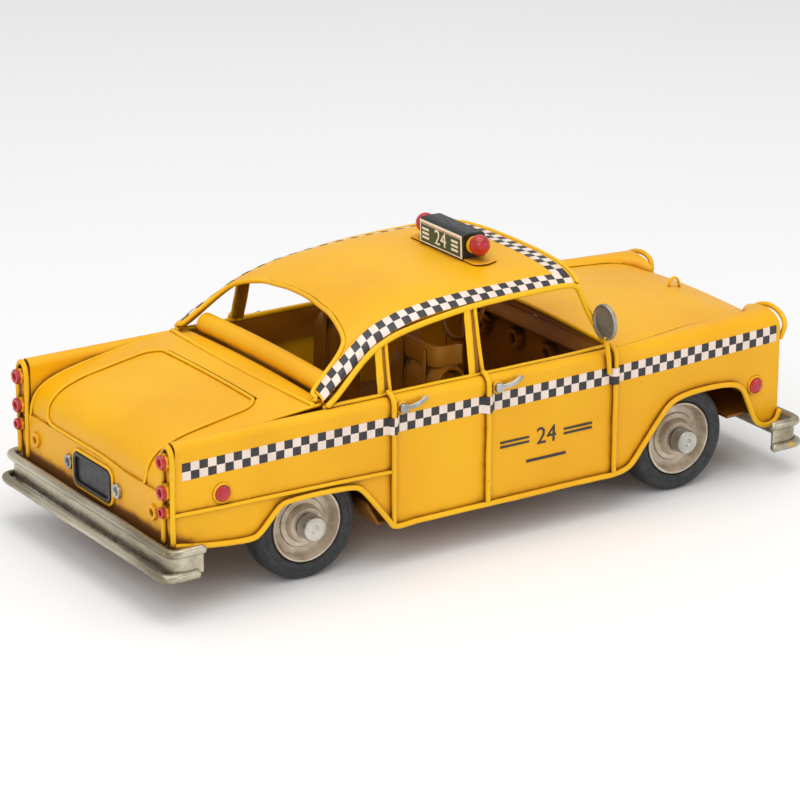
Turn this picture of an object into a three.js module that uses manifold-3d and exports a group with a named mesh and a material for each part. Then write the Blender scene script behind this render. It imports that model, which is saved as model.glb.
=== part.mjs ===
// Friction tin car: a hand-made sheet-metal taxi saloon with soldered wire trim,
// two free-turning axles and a geared flywheel drive on the rear axle.
// Millimetres. +X points forward, +Y to the car's left, +Z up.
// The origin is on the ground, under the centre of the car's box.
import * as THREE from 'three';
import { mergeVertices } from 'three/addons/utils/BufferGeometryUtils.js';
import Module from 'manifold-3d';

const wasm = await Module();
wasm.setup();

// ---- Driving dimensions -------------------------------------------------
const SHEET = 1.0; // sheet-metal thickness
const GAP = 0.3; // clearance left between two pieces
const WIRE = 1.0; // radius of the soldered trim wire

const REAR_AXLE_X = -80;
const FRONT_AXLE_X = 88;
const AXLE_Z = 21.2; // equals the tyre radius, so the tyres stand on z = 0
const TYRE_RADIUS = 21.2;
const TYRE_INNER_Y = 40;
const TYRE_OUTER_Y = 52.7;
const RIM_RADIUS = 14.4;
const AXLE_RADIUS = 1.5;
const CAP_RADIUS = 4.7;
const CAP_END_Y = 58;
const RIM_HUB_Y = 52.4; // outer face of the rim's hub

const TAIL_X = -136.7; // rear end of the side sheets
const DOOR_REAR_X = -46.5;
const DOOR_SPLIT_X = -5;
const DOOR_FRONT_X = 53;
const NOSE_X = 136; // front end of the fenders
const SIDE_Y = 57; // outer face of the doors
const NOSE_SIDE_Y = 52.5; // outer face of the fenders at the nose
const BELT_Z = 64.8; // top of the doors
const SILL_Z = 15.6;
const SHOULDER = 3; // radius of the rounded top edge of the side sheets

const BUMPER_X = 141.4; // centre line of the upper bumper rails, front and rear
const LOWER_RAIL_OUT = 1.3; // how much further out the lower rails stand
const BUMPER_RAIL = 1.75;
const BUMPER_WRAP = 13; // how far the bumpers reach back along the sides
const REAR_BUMPER_Z = [25.6, 16.8];
const FRONT_BUMPER_Z = [20.6, 11.5];
const REAR_BUMPER_Y = 61.6;
const FRONT_BUMPER_Y = 60;

const DECK_HALF = 50.6;
const LID_HALF = 37;
const LID_FRONT_X = -88.8;
const PILLAR_BASE_X = -71; // foot of the roof's rear pillars
const PANEL_X = -137.2; // outer face of the rear panel
const PANEL_TOP_Z = 43.8;
const PLATE_LOW_Z = 28.5; // lower edge of the number plate's opening
const PLATE_HIGH_Z = 42.5; // upper edge of the number plate's frame
const TAIL_LAMP_Y = 54.4;
const TAIL_LAMPS = [[58, 5.5], [46.7, 5.5], [39.3, 4.4]]; // height and width across flats

const MARKER_RADIUS = 3.3;
const REAR_MARKER = [-118, 42.9]; // x and z of the round side lamps
const FRONT_MARKER = [123.7, 36.4];
const HANDLE_Z = 60.4;
const REAR_HANDLE_X = -42.5;
const FRONT_HANDLE_X = -0.6;

const SEAT_REAR_X = -17.5; // rear face of the front seats
const SEAT_INNER_Y = 10.9;
const SEAT_OUTER_Y = 43;
const SEAT_STRIPS = 3;
const STEERING_CENTRE = [41.5, 27, 59.5];
const STEERING_RADIUS = 11.5;
const STEERING_TILT = THREE.MathUtils.degToRad(-65);

const SIGN_BASE_Z = 95.4;
const SIGN_BASE = 0.5; // thickness of the sign's base plate
const SIGN_HALF = 14.6;
const SIGN_LAMP = 3.95;

const FLOOR_HIGH_Z = 24.6; // underside of the floor over the axles
const FLOOR_LOW_Z = 16.2; // underside of the floor between the sills

const GEAR_MODULE = 0.6;
const AXLE_TEETH = 30;
const LAY_TEETH = 28;
const PINION_TEETH = 10;
const LAY_ANGLE = THREE.MathUtils.degToRad(150); // from the rear axle to the lay shaft
const FLY_ANGLE = THREE.MathUtils.degToRad(130); // from the lay shaft to the flywheel
const FLYWHEEL_RADIUS = 9.5;
const FRAME_Y = 12; // inner face of the drive frame's side plates
const SHAFT_END_Y = FRAME_Y + 1.6;
const LAY_SHAFT = 1.2;
const FLY_SHAFT = 1.0;
const BORE_PLAY = 0.35; // added to a shaft's radius in its bearings

// ---- Outlines -----------------------------------------------------------
// The lower edge of the side: rear valance, rear arch, sill, front arch, front valance (x, z).
const REAR_EDGE = [[TAIL_X, 26.2], [-124, 24.9], [-106, 23.7], [-103.6, 24.8], [-95.2, 33.2],
  [-93, 34.4], [-63, 33.9], [-60.6, 32.6], [-48.6, 18.2], [DOOR_REAR_X, SILL_Z]];
const FRONT_EDGE = [[DOOR_FRONT_X, SILL_Z], [60, 17.2], [66.5, 24], [74, 32.6], [80, 38.3],
  [87, 40.4], [109, 40], [115.5, 37.5], [120, 29.8], [124, 22], [129, 19.3], [134, 20.3],
  [NOSE_X, 24]];
const LOWEST = 12; // the side sheets start here and are trimmed to their lower edge

// The hood: half its width, the height of its seam with the fender, and its centre's height.
const HOOD_HALF = [[DOOR_FRONT_X, 53.4], [75, 49], [99.5, 43.1], [126, 40.2], [131, 37],
  [133.5, 31.5], [NOSE_X, 28.7]];
const SEAM_Z = [[DOOR_FRONT_X, 64], [75, 63.5], [100, 62.6], [126, 61], [NOSE_X, 58.3]];
const HOOD_CENTRE_Z = [[DOOR_FRONT_X, 67], [80, 66.2], [110, 64], [126, 61.8], [NOSE_X, 59]];

const DECK_PROFILE = [[PANEL_X, PANEL_TOP_Z], [-136.9, 48], [-135.3, 51.8], [-131.5, 55.2],
  [-124, 58], [-112, 60.4], [LID_FRONT_X, 64.3], [-78, 65.4], [-70.6, 65.2]];
const DECK_CROWN = 1.4;

// Stations along the roof: the x, y and z of its side edge, the rise of its crown above the edge,
// and how flat the crown is, from 0 (an ellipse) to 1 (level, with turned-down shoulders).
const ROOF = [[-73.5, 52.8, 66.9, 5.4, 0], [-66.5, 51.2, 71.4, 7.4, 0], [-60.3, 49.6, 74.8, 9.6, 0],
  [-54, 48.3, 78.7, 10.2, 0.1], [-47.5, 47.3, 82.6, 8.3, 0.4], [-38, 46.5, 86.1, 6.8, 0.8],
  [-28, 46, 88.2, 5.9, 1], [-7, 46, 90.3, 4.9, 1], [14, 46, 90.9, 4.2, 1],
  [30, 46, 90.8, 4.3, 1], [41.4, 46, 90.1, 4.4, 0.8]];
const SHOULDER_POWER = 4.5;
const FRONT_BOW = 4; // the roof's front edge is this much further forward at the centre

// The wire under the roof's left edge, from the belt behind to the windshield pillar's foot.
const RAIL = [[-71.6, 53, 65.7], [-67.7, 52.5, 67.5], [-60, 50.9, 73.4], [-54.6, 49.5, 77.6],
  [-48.8, 48.5, 81], [-43.2, 48, 83.2], [-38, 47.6, 84.7], [-28, 47.2, 86.5], [-18.7, 47.1, 87.8],
  [-7.9, 47.1, 89.1], [6, 47.1, 89.9], [20, 47.1, 90.2], [40.6, 47.1, 89.6], [42.9, 47.2, 87.4],
  [47.5, 48.6, 76.5], [53.4, 50.6, 64.2]];

// The rear window's edge seen from above, from the centre outwards (x, y).
const WINDOW_EDGE = [[-49.3, 0], [-49.5, 8], [-50.4, 15], [-51, 22.4], [-52.2, 28.9],
  [-53.6, 34.7], [-54.9, 38.6], [-56.4, 40.8], [-59.4, 42.6], [-62.8, 43.8], [-67.3, 44.9],
  [-73.5, 46.6]];

// ---- Materials ----------------------------------------------------------
function finish(color, roughness, metalness) {
  return () => new THREE.MeshStandardMaterial({ color, roughness, metalness });
}

const yellow = finish(0xe3a21a, 0.5, 0.15);
const innerYellow = finish(0x8a5a14, 0.6, 0.15);
const pewter = finish(0x9a968c, 0.45, 0.8);
const steel = finish(0x77746c, 0.5, 0.8);
const rimGrey = finish(0x7d756a, 0.6, 0.6);
const rubber = finish(0x2a2b2b, 0.85, 0.0);
const black = finish(0x17181a, 0.45, 0.1);
const red = finish(0xb5182a, 0.35, 0.0);
const brass = finish(0xb08d4a, 0.4, 0.9);

// ---- Turning geometries into solids and back ----------------------------
function solid(geometry) {
  const bare = geometry.clone();
  bare.deleteAttribute('normal');
  bare.deleteAttribute('uv');
  const merged = mergeVertices(bare, 1e-4);
  const index = merged.index.array;
  const triangles = [];
  for (let i = 0; i < index.length; i += 3) {
    const [a, b, c] = [index[i], index[i + 1], index[i + 2]];
    const collapsed = a === b || b === c || c === a;
    if (!collapsed) triangles.push(a, b, c);
  }
  return new wasm.Manifold(new wasm.Mesh({
    numProp: 3,
    vertProperties: new Float32Array(merged.attributes.position.array),
    triVerts: new Uint32Array(triangles),
  }));
}

function geometryOf(body) {
  const mesh = body.getMesh();
  const geometry = new THREE.BufferGeometry();
  const positions = new Float32Array(mesh.vertProperties);
  geometry.setAttribute('position', new THREE.BufferAttribute(positions, 3));
  geometry.setIndex(new THREE.BufferAttribute(new Uint32Array(mesh.triVerts), 1));
  geometry.computeVertexNormals();
  return geometry;
}

function joined(geometries) {
  return geometries.map(solid).reduce((whole, next) => whole.add(next));
}

function cut(body, tools) {
  return tools.reduce((rest, tool) => rest.subtract(solid(tool)), body);
}

// The same geometry on the other side of the car.
function mirrored(geometry) {
  const other = (geometry.index ? geometry.clone() : mergeVertices(geometry.clone()));
  const position = other.attributes.position;
  for (let i = 0; i < position.count; i += 1) position.setY(i, -position.getY(i));
  const index = other.index.array;
  for (let i = 0; i < index.length; i += 3) {
    [index[i], index[i + 1]] = [index[i + 1], index[i]];
  }
  return other;
}

const car = new THREE.Group();

function piece(name, geometry, material) {
  const mesh = new THREE.Mesh(geometry, material());
  mesh.name = name;
  car.add(mesh);
}

// A left-hand geometry becomes a left and a right piece.
function pair(name, geometry, material) {
  piece(`${name}_left`, geometry, material);
  piece(`${name}_right`, mirrored(geometry), material);
}

// ---- Basic shapes -------------------------------------------------------
function outline(points) {
  return new THREE.Shape(points.map(([a, b]) => new THREE.Vector2(a, b)));
}

function extruded(shape, depth, curveSegments = 4) {
  return new THREE.ExtrudeGeometry(shape, { depth, bevelEnabled: false, curveSegments });
}

// A plate seen from the side, between two Y planes.
function plateXZ(shape, yLow, yHigh) {
  return extruded(shape, yHigh - yLow).rotateX(Math.PI / 2).translate(0, yHigh, 0);
}

// A plate seen from above, between two heights.
function plateXY(shape, zLow, zHigh) {
  return extruded(shape, zHigh - zLow).translate(0, 0, zLow);
}

// A plate seen from behind, between two X planes.
function plateYZ(shape, xLow, xHigh) {
  const turn = new THREE.Matrix4().makeBasis(
    new THREE.Vector3(0, 1, 0), new THREE.Vector3(0, 0, 1), new THREE.Vector3(1, 0, 0));
  return extruded(shape, xHigh - xLow).applyMatrix4(turn).translate(xLow, 0, 0);
}

function box(low, high) {
  const [dx, dy, dz] = [0, 1, 2].map((i) => high[i] - low[i]);
  return new THREE.BoxGeometry(dx, dy, dz)
    .translate(low[0] + dx / 2, low[1] + dy / 2, low[2] + dz / 2);
}

function rodY(radius, yLow, yHigh, x, z, sides = 12) {
  return new THREE.CylinderGeometry(radius, radius, yHigh - yLow, sides)
    .translate(x, (yLow + yHigh) / 2, z);
}

function rodX(radius, xLow, xHigh, y, z, sides = 16) {
  return new THREE.CylinderGeometry(radius, radius, xHigh - xLow, sides)
    .rotateZ(Math.PI / 2).translate((xLow + xHigh) / 2, y, z);
}

function hexX(acrossFlats, xLow, xHigh, y, z) {
  return rodX(acrossFlats / Math.sqrt(3), xLow, xHigh, y, z, 6);
}

function roundedRectangle(halfWide, low, high, radius) {
  const shape = new THREE.Shape();
  shape.moveTo(-halfWide + radius, low);
  shape.absarc(halfWide - radius, low + radius, radius, -Math.PI / 2, 0, false);
  shape.absarc(halfWide - radius, high - radius, radius, 0, Math.PI / 2, false);
  shape.absarc(-halfWide + radius, high - radius, radius, Math.PI / 2, Math.PI, false);
  shape.absarc(-halfWide + radius, low + radius, radius, Math.PI, Math.PI * 1.5, false);
  return shape;
}

function vectors(points) {
  return points.map(([x, y, z]) => new THREE.Vector3(x, y, z));
}

// A round wire along a smooth line through the given points.
function wire(points, radius = WIRE, lengths = 4 * points.length, sides = 5) {
  const corners = Array.from({ length: sides }, (_, k) => (2 * Math.PI * k) / sides);
  const section = outline(corners.map((a) => [radius * Math.cos(a), radius * Math.sin(a)]));
  const extrudePath = new THREE.CatmullRomCurve3(vectors(points), false, 'centripetal');
  return new THREE.ExtrudeGeometry(section, { steps: lengths, extrudePath, bevelEnabled: false });
}

// A thin sheet through rows of points on its outer face. Each row runs across the sheet.
function sheet(rows, thickness = SHEET) {
  const across = rows[0].length;
  const at = (i, j) => i * across + j;
  const outer = rows.flat();
  const inner = rows.flatMap((row, i) => row.map((point, j) => {
    const along = rows[Math.min(i + 1, rows.length - 1)][j].clone()
      .sub(rows[Math.max(i - 1, 0)][j]);
    const sideways = row[Math.min(j + 1, across - 1)].clone().sub(row[Math.max(j - 1, 0)]);
    return point.clone().addScaledVector(along.cross(sideways).normalize(), -thickness);
  }));
  const back = outer.length;
  const faces = [];
  for (let i = 0; i < rows.length - 1; i += 1) {
    for (let j = 0; j < across - 1; j += 1) {
      const [a, b, c, d] = [at(i, j), at(i + 1, j), at(i + 1, j + 1), at(i, j + 1)];
      faces.push(a, b, c, a, c, d);
      faces.push(back + a, back + c, back + b, back + a, back + d, back + c);
    }
  }
  const rim = [];
  for (let i = 0; i < rows.length - 1; i += 1) rim.push(at(i, 0));
  for (let j = 0; j < across - 1; j += 1) rim.push(at(rows.length - 1, j));
  for (let i = rows.length - 1; i > 0; i -= 1) rim.push(at(i, across - 1));
  for (let j = across - 1; j > 0; j -= 1) rim.push(at(0, j));
  rim.forEach((p, k) => {
    const q = rim[(k + 1) % rim.length];
    faces.push(q, p, back + p, q, back + p, back + q);
  });
  const geometry = new THREE.BufferGeometry().setFromPoints([...outer, ...inner]);
  geometry.setIndex(faces);
  return geometry;
}

function steps(from, to, count) {
  return Array.from({ length: count + 1 }, (_, i) => from + ((to - from) * i) / count);
}

// Straight-line interpolation through a short list of [x, value] stations.
function between(stations, x) {
  const last = stations.length - 1;
  if (x <= stations[0][0]) return stations[0][1];
  if (x >= stations[last][0]) return stations[last][1];
  const k = stations.findIndex(([limit]) => limit >= x);
  const [[x0, a], [x1, b]] = [stations[k - 1], stations[k]];
  return a + ((b - a) * (x - x0)) / (x1 - x0);
}

// ---- Side sheets --------------------------------------------------------
function sideY(x) {
  const run = Math.max(0, (x - DOOR_FRONT_X) / (NOSE_X - DOOR_FRONT_X));
  return SIDE_Y - (SIDE_Y - NOSE_SIDE_Y) * run ** 1.2;
}

function underEdge(edge) {
  const shape = new THREE.Shape();
  shape.moveTo(edge[0][0] - 2, 0);
  shape.lineTo(edge[0][0] - 2, edge[0][1]);
  edge.forEach(([x, z]) => shape.lineTo(x, z));
  shape.lineTo(edge[edge.length - 1][0] + 2, edge[edge.length - 1][1]);
  shape.lineTo(edge[edge.length - 1][0] + 2, 0);
  return plateXZ(shape, 40, 70);
}

// Behind the rear pillar the sheet folds over into the deck; beside the window it stops on top.
function quarterRow(x) {
  const beside = x > PILLAR_BASE_X;
  const innerLow = Math.min(BELT_Z - SHOULDER - 0.8, deckPoint(x, DECK_HALF).z - 1.5);
  const row = beside ? [new THREE.Vector3(x, SIDE_Y - SHOULDER - 0.2, BELT_Z - 0.4)]
    : [new THREE.Vector3(x, SIDE_Y - 2 * SHOULDER, innerLow)];
  steps(beside ? 90 : 180, 0, 4).forEach((degrees) => {
    const angle = THREE.MathUtils.degToRad(degrees);
    row.push(new THREE.Vector3(x, SIDE_Y - SHOULDER + SHOULDER * Math.cos(angle),
      BELT_Z - 0.4 - SHOULDER + SHOULDER * Math.sin(angle)));
  });
  row.push(new THREE.Vector3(x, SIDE_Y, LOWEST));
  return row;
}

function doorRow(x) {
  const row = steps(90, 0, 4).map((degrees) => {
    const angle = THREE.MathUtils.degToRad(degrees);
    return new THREE.Vector3(x, SIDE_Y - SHOULDER + SHOULDER * Math.cos(angle),
      BELT_Z - SHOULDER + SHOULDER * Math.sin(angle));
  });
  row.push(new THREE.Vector3(x, SIDE_Y, SILL_Z));
  return row;
}

function fenderRow(x) {
  const outerY = sideY(x);
  const run = (x - DOOR_FRONT_X) / (NOSE_X - DOOR_FRONT_X);
  const crownY = outerY - (SHOULDER + 6.5 * run);
  const crownZ = BELT_Z - 0.4 - 0.8 * run;
  const seamY = between(HOOD_HALF, x) + GAP;
  const seamZ = between(SEAM_Z, x) - 0.2;
  const low = 57.5;
  const row = steps(90, 0, 3).slice(0, 3).map((degrees) => {
    const angle = THREE.MathUtils.degToRad(degrees);
    return new THREE.Vector3(x, crownY - (crownY - seamY) * Math.sin(angle),
      seamZ + (crownZ - seamZ) * Math.cos(angle));
  });
  steps(90, 0, 3).forEach((degrees) => {
    const angle = THREE.MathUtils.degToRad(degrees);
    row.push(new THREE.Vector3(x, crownY + (outerY - crownY) * Math.cos(angle),
      low + (crownZ - low) * Math.sin(angle)));
  });
  row.push(new THREE.Vector3(x, outerY, LOWEST));
  return row;
}

function markerLamp([x, z]) {
  return rodY(MARKER_RADIUS, sideY(x) - 0.6, sideY(x) + 1.4, x, z, 12);
}

function doorHandle(x) {
  const plate = rodY(2.4, SIDE_Y - 0.5, SIDE_Y + 1, x, HANDLE_Z, 12);
  const knob = rodY(1.9, SIDE_Y + 0.8, SIDE_Y + 2.4, x, HANDLE_Z, 12);
  const lever = wire([[x, SIDE_Y + 1.8, HANDLE_Z], [x + 5, SIDE_Y + 2.2, HANDLE_Z + 0.8],
    [x + 10, SIDE_Y + 1.9, HANDLE_Z + 2.2]], 0.8, 4);
  return [plate, knob, lever];
}

// A side sheet through the rows at the given stations, trimmed to its lower edge, with its lamp.
function trimmedSide(stations, row, edge, lamp) {
  const skin = solid(sheet(stations.map(row)));
  return cut(skin, [underEdge(edge)]).add(solid(markerLamp(lamp)));
}

function door(rearX, frontX, handleX) {
  const skin = sheet([rearX + GAP / 2, frontX - GAP / 2].map(doorRow));
  return joined([skin, ...doorHandle(handleX)]);
}

function makeSides() {
  const quarterStations = [TAIL_X, -124, -112, -100, -90, -80, PILLAR_BASE_X - 2,
    PILLAR_BASE_X + 0.5, DOOR_REAR_X - GAP / 2];
  const fenderStations = [DOOR_FRONT_X + GAP / 2, 66, 82, 99.5, 115, 126, 131, 133.5, NOSE_X];
  const quarter = trimmedSide(quarterStations, quarterRow, REAR_EDGE, REAR_MARKER);
  const fender = trimmedSide(fenderStations, fenderRow, FRONT_EDGE, FRONT_MARKER);
  pair('rear_quarter', geometryOf(quarter), yellow);
  pair('rear_door', geometryOf(door(DOOR_REAR_X, DOOR_SPLIT_X, REAR_HANDLE_X)), yellow);
  pair('front_door', geometryOf(door(DOOR_SPLIT_X, DOOR_FRONT_X, FRONT_HANDLE_X)), yellow);
  pair('front_fender', geometryOf(fender), yellow);
}

// Trim wire on one side: the lower edge, three door lines, the quarter line, the fin loop.
function makeSideTrim() {
  const off = GAP + WIRE;
  const outside = (x, z) => [x, sideY(x) + off, z];
  const rearEdge = REAR_EDGE.map(([x, z]) => outside(x, z));
  const frontEdge = FRONT_EDGE.map(([x, z]) => outside(x, z));
  const finX = TAIL_X - 1.7;
  rearEdge[0] = [finX + 0.9, SIDE_Y + 1, 27];
  const doorLine = (x) => {
    const strip = new THREE.Shape();
    const [y, z] = [SIDE_Y - SHOULDER, BELT_Z - SHOULDER];
    strip.moveTo(SIDE_Y + GAP, SILL_Z);
    strip.lineTo(SIDE_Y + GAP, z);
    strip.absarc(y, z, SHOULDER + GAP, 0, Math.PI / 2, false);
    strip.absarc(y, z, SHOULDER + GAP + 2 * WIRE, Math.PI / 2, 0, true);
    strip.lineTo(SIDE_Y + GAP + 2 * WIRE, SILL_Z);
    return plateYZ(strip, x - WIRE, x + WIRE);
  };
  const fin = wire([[finX, 51.2, 27], [finX, 51.2, 44], [finX, 51.2, 58.5], [finX, 52.4, 62.2],
    [finX, 54.4, 63.4], [finX, 56.4, 62.2], [finX, 57.6, 58.5], [finX, 57.6, 44],
    [finX, 57.6, 27.4]], WIRE, 16, 4);
  const quarterLine = wire([[finX, SIDE_Y + 0.6, 38.4], [TAIL_X + 3, SIDE_Y + off, 38.3],
    [-90, SIDE_Y + off, 37.6], [DOOR_REAR_X, SIDE_Y + off, 36.7]], 0.7, 8);
  const sill = [DOOR_REAR_X + 3, DOOR_SPLIT_X, DOOR_FRONT_X - 3].map((x) => outside(x, SILL_Z));
  const trim = joined([wire([...rearEdge, ...sill, ...frontEdge], WIRE, 64, 4),
    ...[DOOR_REAR_X, DOOR_SPLIT_X, DOOR_FRONT_X - 0.3].map(doorLine), fin, quarterLine]);
  pair('side_trim', geometryOf(trim), yellow);
}

// ---- Tail ---------------------------------------------------------------
const DECK_CURVE = new THREE.SplineCurve(DECK_PROFILE.map(([x, z]) => new THREE.Vector2(x, z)));

function deckAt(run, y) {
  const point = DECK_CURVE.getPointAt(run);
  const tangent = DECK_CURVE.getTangentAt(run);
  const crown = DECK_CROWN * (1 - (y / DECK_HALF) ** 2) * Math.min(1, run * 3);
  return new THREE.Vector3(point.x - tangent.y * crown, y, point.y + tangent.x * crown);
}

function deckPoint(x, y) {
  const runs = steps(0, 1, 60).map((run) => deckAt(run, y));
  const over = runs.find((point) => point.x >= x) ?? runs[runs.length - 1];
  return over.x - x > 3 ? runs[0] : over;
}

function lidOutline(half, front) {
  const shape = new THREE.Shape();
  const corner = 9;
  shape.moveTo(-160, -half);
  shape.lineTo(front - corner, -half);
  shape.absarc(front - corner, -half + corner, corner, -Math.PI / 2, 0, false);
  shape.absarc(front - corner, half - corner, corner, 0, Math.PI / 2, false);
  shape.lineTo(-160, half);
  return shape;
}

function makeTail() {
  const rows = steps(0, 1, 10).map((run) => steps(-1, 1, 6).map(
    (side) => deckAt(run, side * DECK_HALF)));
  const skin = solid(sheet(rows));
  const opening = plateXY(lidOutline(LID_HALF + GAP, LID_FRONT_X + GAP), 30, 90);
  const lid = plateXY(lidOutline(LID_HALF, LID_FRONT_X), 30, 90);
  piece('trunk_deck', geometryOf(cut(skin, [opening])), yellow);
  piece('trunk_lid', geometryOf(skin.intersect(solid(lid))), yellow);
  piece('rear_panel', plateYZ(roundedRectangle(50, 22.4, PANEL_TOP_Z - GAP, 1.5),
    PANEL_X, PANEL_X + SHEET), yellow);
}

// Three pairs of hexagon nuts, a smaller one on a larger one, on a strip down the fin.
function makeTailLights() {
  const strip = box([TAIL_X - 3.2, TAIL_LAMP_Y - 1.6, 34], [TAIL_X - GAP, TAIL_LAMP_Y + 1.6, 60]);
  const nuts = TAIL_LAMPS.flatMap(([z, flats]) => [
    hexX(flats, TAIL_X - 4.5, TAIL_X - 3, TAIL_LAMP_Y, z),
    hexX(flats - 0.6, TAIL_X - 5.8, TAIL_X - 4.3, TAIL_LAMP_Y, z)]);
  pair('tail_lights', geometryOf(joined([strip, ...nuts])), red);
}

function makeNumberPlate() {
  const [half, rim, corner] = [14, 1.4, 4.4];
  const [low, high] = [PLATE_LOW_Z, PLATE_HIGH_Z - rim];
  const back = PANEL_X - GAP;
  const frame = roundedRectangle(half + rim, low - rim, high + rim, corner);
  const opening = roundedRectangle(half, low, high, corner - rim);
  const plate = roundedRectangle(half - GAP, low + GAP, high - GAP, corner - rim - GAP);
  const ring = cut(solid(plateYZ(frame, back - 1.6, back)), [plateYZ(opening, back - 3, back + 1)]);
  const nuts = [-18, 18].flatMap((y) => [hexX(5.5, back - 1.9, back, y, 35.3),
    hexX(4.8, back - 3.8, back - 1.7, y, 35.3)]);
  piece('plate_frame', geometryOf(ring.add(joined(nuts))), yellow);
  piece('number_plate', plateYZ(plate, back - 1.1, back - 0.1), black);
}

// ---- Bumpers ------------------------------------------------------------
// A rail bent round both corners; direction is +1 at the front and -1 at the rear.
function bumperRail(direction, endX, halfWidth, z) {
  const x = (inset) => direction * (endX - inset);
  const half = [[x(BUMPER_WRAP), halfWidth, z], [x(BUMPER_WRAP / 2), halfWidth, z],
    [x(3.2), halfWidth, z], [x(0.9), halfWidth - 0.9, z], [x(0), halfWidth - 3.4, z],
    [x(0), halfWidth - 12, z]];
  const other = half.map(([a, b, c]) => [a, -b, c]).reverse();
  return wire([...half, ...other], BUMPER_RAIL, 24, 6);
}

// The plate that stands between the two rails.
function bumperWeb(direction, halfWidth, [zHigh, zLow]) {
  const x = (inset) => direction * (BUMPER_X - inset);
  const outer = [[x(BUMPER_WRAP), halfWidth - 0.2], [x(4), halfWidth - 0.2],
    [x(1.4), halfWidth - 1.4], [x(0.4), halfWidth - 4]];
  const inner = [[x(1.4), halfWidth - 4.6], [x(4.4), halfWidth - 1.4],
    [x(BUMPER_WRAP), halfWidth - 1.4]];
  const flip = (points) => points.map(([a, b]) => [a, -b]).reverse();
  const shape = outline([...outer, ...flip(outer), ...flip(inner), ...inner]);
  return plateXY(shape, zLow, zHigh);
}

function bumper(name, direction, halfWidth, heights, mountX, mountZ) {
  const [upper, lower] = heights;
  const lugs = [-30, 30].map((y) => {
    const ends = [direction * (BUMPER_X - 1), mountX].sort((a, b) => a - b);
    return box([ends[0], y - 4, mountZ - 0.6], [ends[1], y + 4, mountZ + 0.6]);
  });
  const parts = [
    bumperRail(direction, BUMPER_X, halfWidth, upper),
    bumperRail(direction, BUMPER_X + LOWER_RAIL_OUT, halfWidth, lower),
    bumperWeb(direction, halfWidth, heights), ...lugs];
  piece(name, geometryOf(joined(parts)), pewter);
}

function makeBumpers() {
  bumper('rear_bumper', -1, REAR_BUMPER_Y, REAR_BUMPER_Z, PANEL_X - GAP, 24);
  bumper('front_bumper', 1, FRONT_BUMPER_Y, FRONT_BUMPER_Z, NOSE_X - 1, 19.4);
}

// ---- Roof ---------------------------------------------------------------
const EDGE = new THREE.CatmullRomCurve3(ROOF.map(([x, y, z]) => new THREE.Vector3(x, y, z)));
const CROWN = new THREE.CatmullRomCurve3(
  ROOF.map(([x, , , rise, flat]) => new THREE.Vector3(x, rise, flat)));
// run goes from the rear pillars' feet to the windshield, side from one edge to the other.
function roofPoint(run, side) {
  const edge = EDGE.getPoint(run);
  const { y: rise, z: flat } = CROWN.getPoint(run);
  const angle = (side * Math.PI) / 2;
  const across = Math.abs(Math.sin(angle));
  const crown = (1 - flat) * Math.cos(angle) + flat * (1 - across ** SHOULDER_POWER);
  const bow = FRONT_BOW * run ** 3 * Math.cos(angle);
  return new THREE.Vector3(edge.x + bow, edge.y * Math.sin(angle), edge.z + rise * crown);
}

// The point of the roof above or below the given plan position.
function roofOver(x, y) {
  const points = steps(0, 1, 200).map((run) => {
    const share = THREE.MathUtils.clamp(y / EDGE.getPoint(run).y, -1, 1);
    return roofPoint(run, (Math.asin(share) * 2) / Math.PI);
  });
  return points.find((point) => point.x >= x);
}

const WINDOW_CORNER_Y = WINDOW_EDGE[WINDOW_EDGE.length - 1][1];

function windowEdge() {
  const left = WINDOW_EDGE.map(([x, y]) => [x, -y]).reverse();
  return new THREE.SplineCurve([...left, ...WINDOW_EDGE.slice(1)].map(
    ([x, y]) => new THREE.Vector2(x, y)));
}

function makeRoof() {
  const rows = steps(0, 1, 12).map((run) => steps(-1, 1, 12).map((side) => roofPoint(run, side)));
  const window = new THREE.Shape();
  window.moveTo(-90, -WINDOW_CORNER_Y);
  windowEdge().getPoints(22).forEach((point) => window.lineTo(point.x, point.y));
  window.lineTo(-90, WINDOW_CORNER_Y);
  piece('roof', geometryOf(cut(solid(sheet(rows)), [plateXY(window, 50, 110)])), yellow);
}

// The wire cage of one side: rail, windshield pillar, belt wire, two pairs of window posts.
function makeSideFrames() {
  const belt = [[-71.2, 52.2, 63.4], [-40, 52.3, 63.4], [10, 52.3, 63.4], [53.4, 50.9, 63.2]];
  const posts = [
    windowPost(-48.4, -47.2, 81.6, 48, 1),
    windowPost(-44.6, -43.6, 83, 47.8, 0.8),
    windowPost(-8.6, -7.8, 89, 47, 1),
    windowPost(-4, -4.4, 89.2, 47, 0.8)];
  pair('side_frame', geometryOf(joined([wire(RAIL, WIRE, 34), wire(belt, WIRE, 6), ...posts])),
    yellow);
}

// A flat post from the belt up to the rail, leaning inwards.
function windowPost(xLow, xHigh, zHigh, yHigh, half) {
  const [zLow, yLow] = [63, 52.4];
  const shape = outline([[xLow - half, zLow], [xLow + half, zLow], [xHigh + half, zHigh],
    [xHigh - half, zHigh]]);
  const post = plateXZ(shape, -0.6, 0.6);
  const lean = (yHigh - yLow) / (zHigh - zLow);
  const position = post.attributes.position;
  for (let i = 0; i < position.count; i += 1) {
    position.setY(i, position.getY(i) + yLow + lean * (position.getZ(i) - zLow));
  }
  return post;
}

function makeRoofWires() {
  const header = steps(-0.86, 0.86, 10).map((side) => {
    const point = roofPoint(1, side);
    return [point.x + 1.4, point.y, point.z - 0.6];
  });
  piece('windshield_header', wire(header, WIRE, 20), yellow);
  const bead = windowEdge().getSpacedPoints(18).slice(1, 18).map(({ x, y }) => {
    const under = roofOver(x, y);
    return [x - 1.4, y * 0.98, under.z - 0.9];
  });
  piece('rear_window_wire', wire(bead, WIRE, 22), yellow);
}

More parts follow.
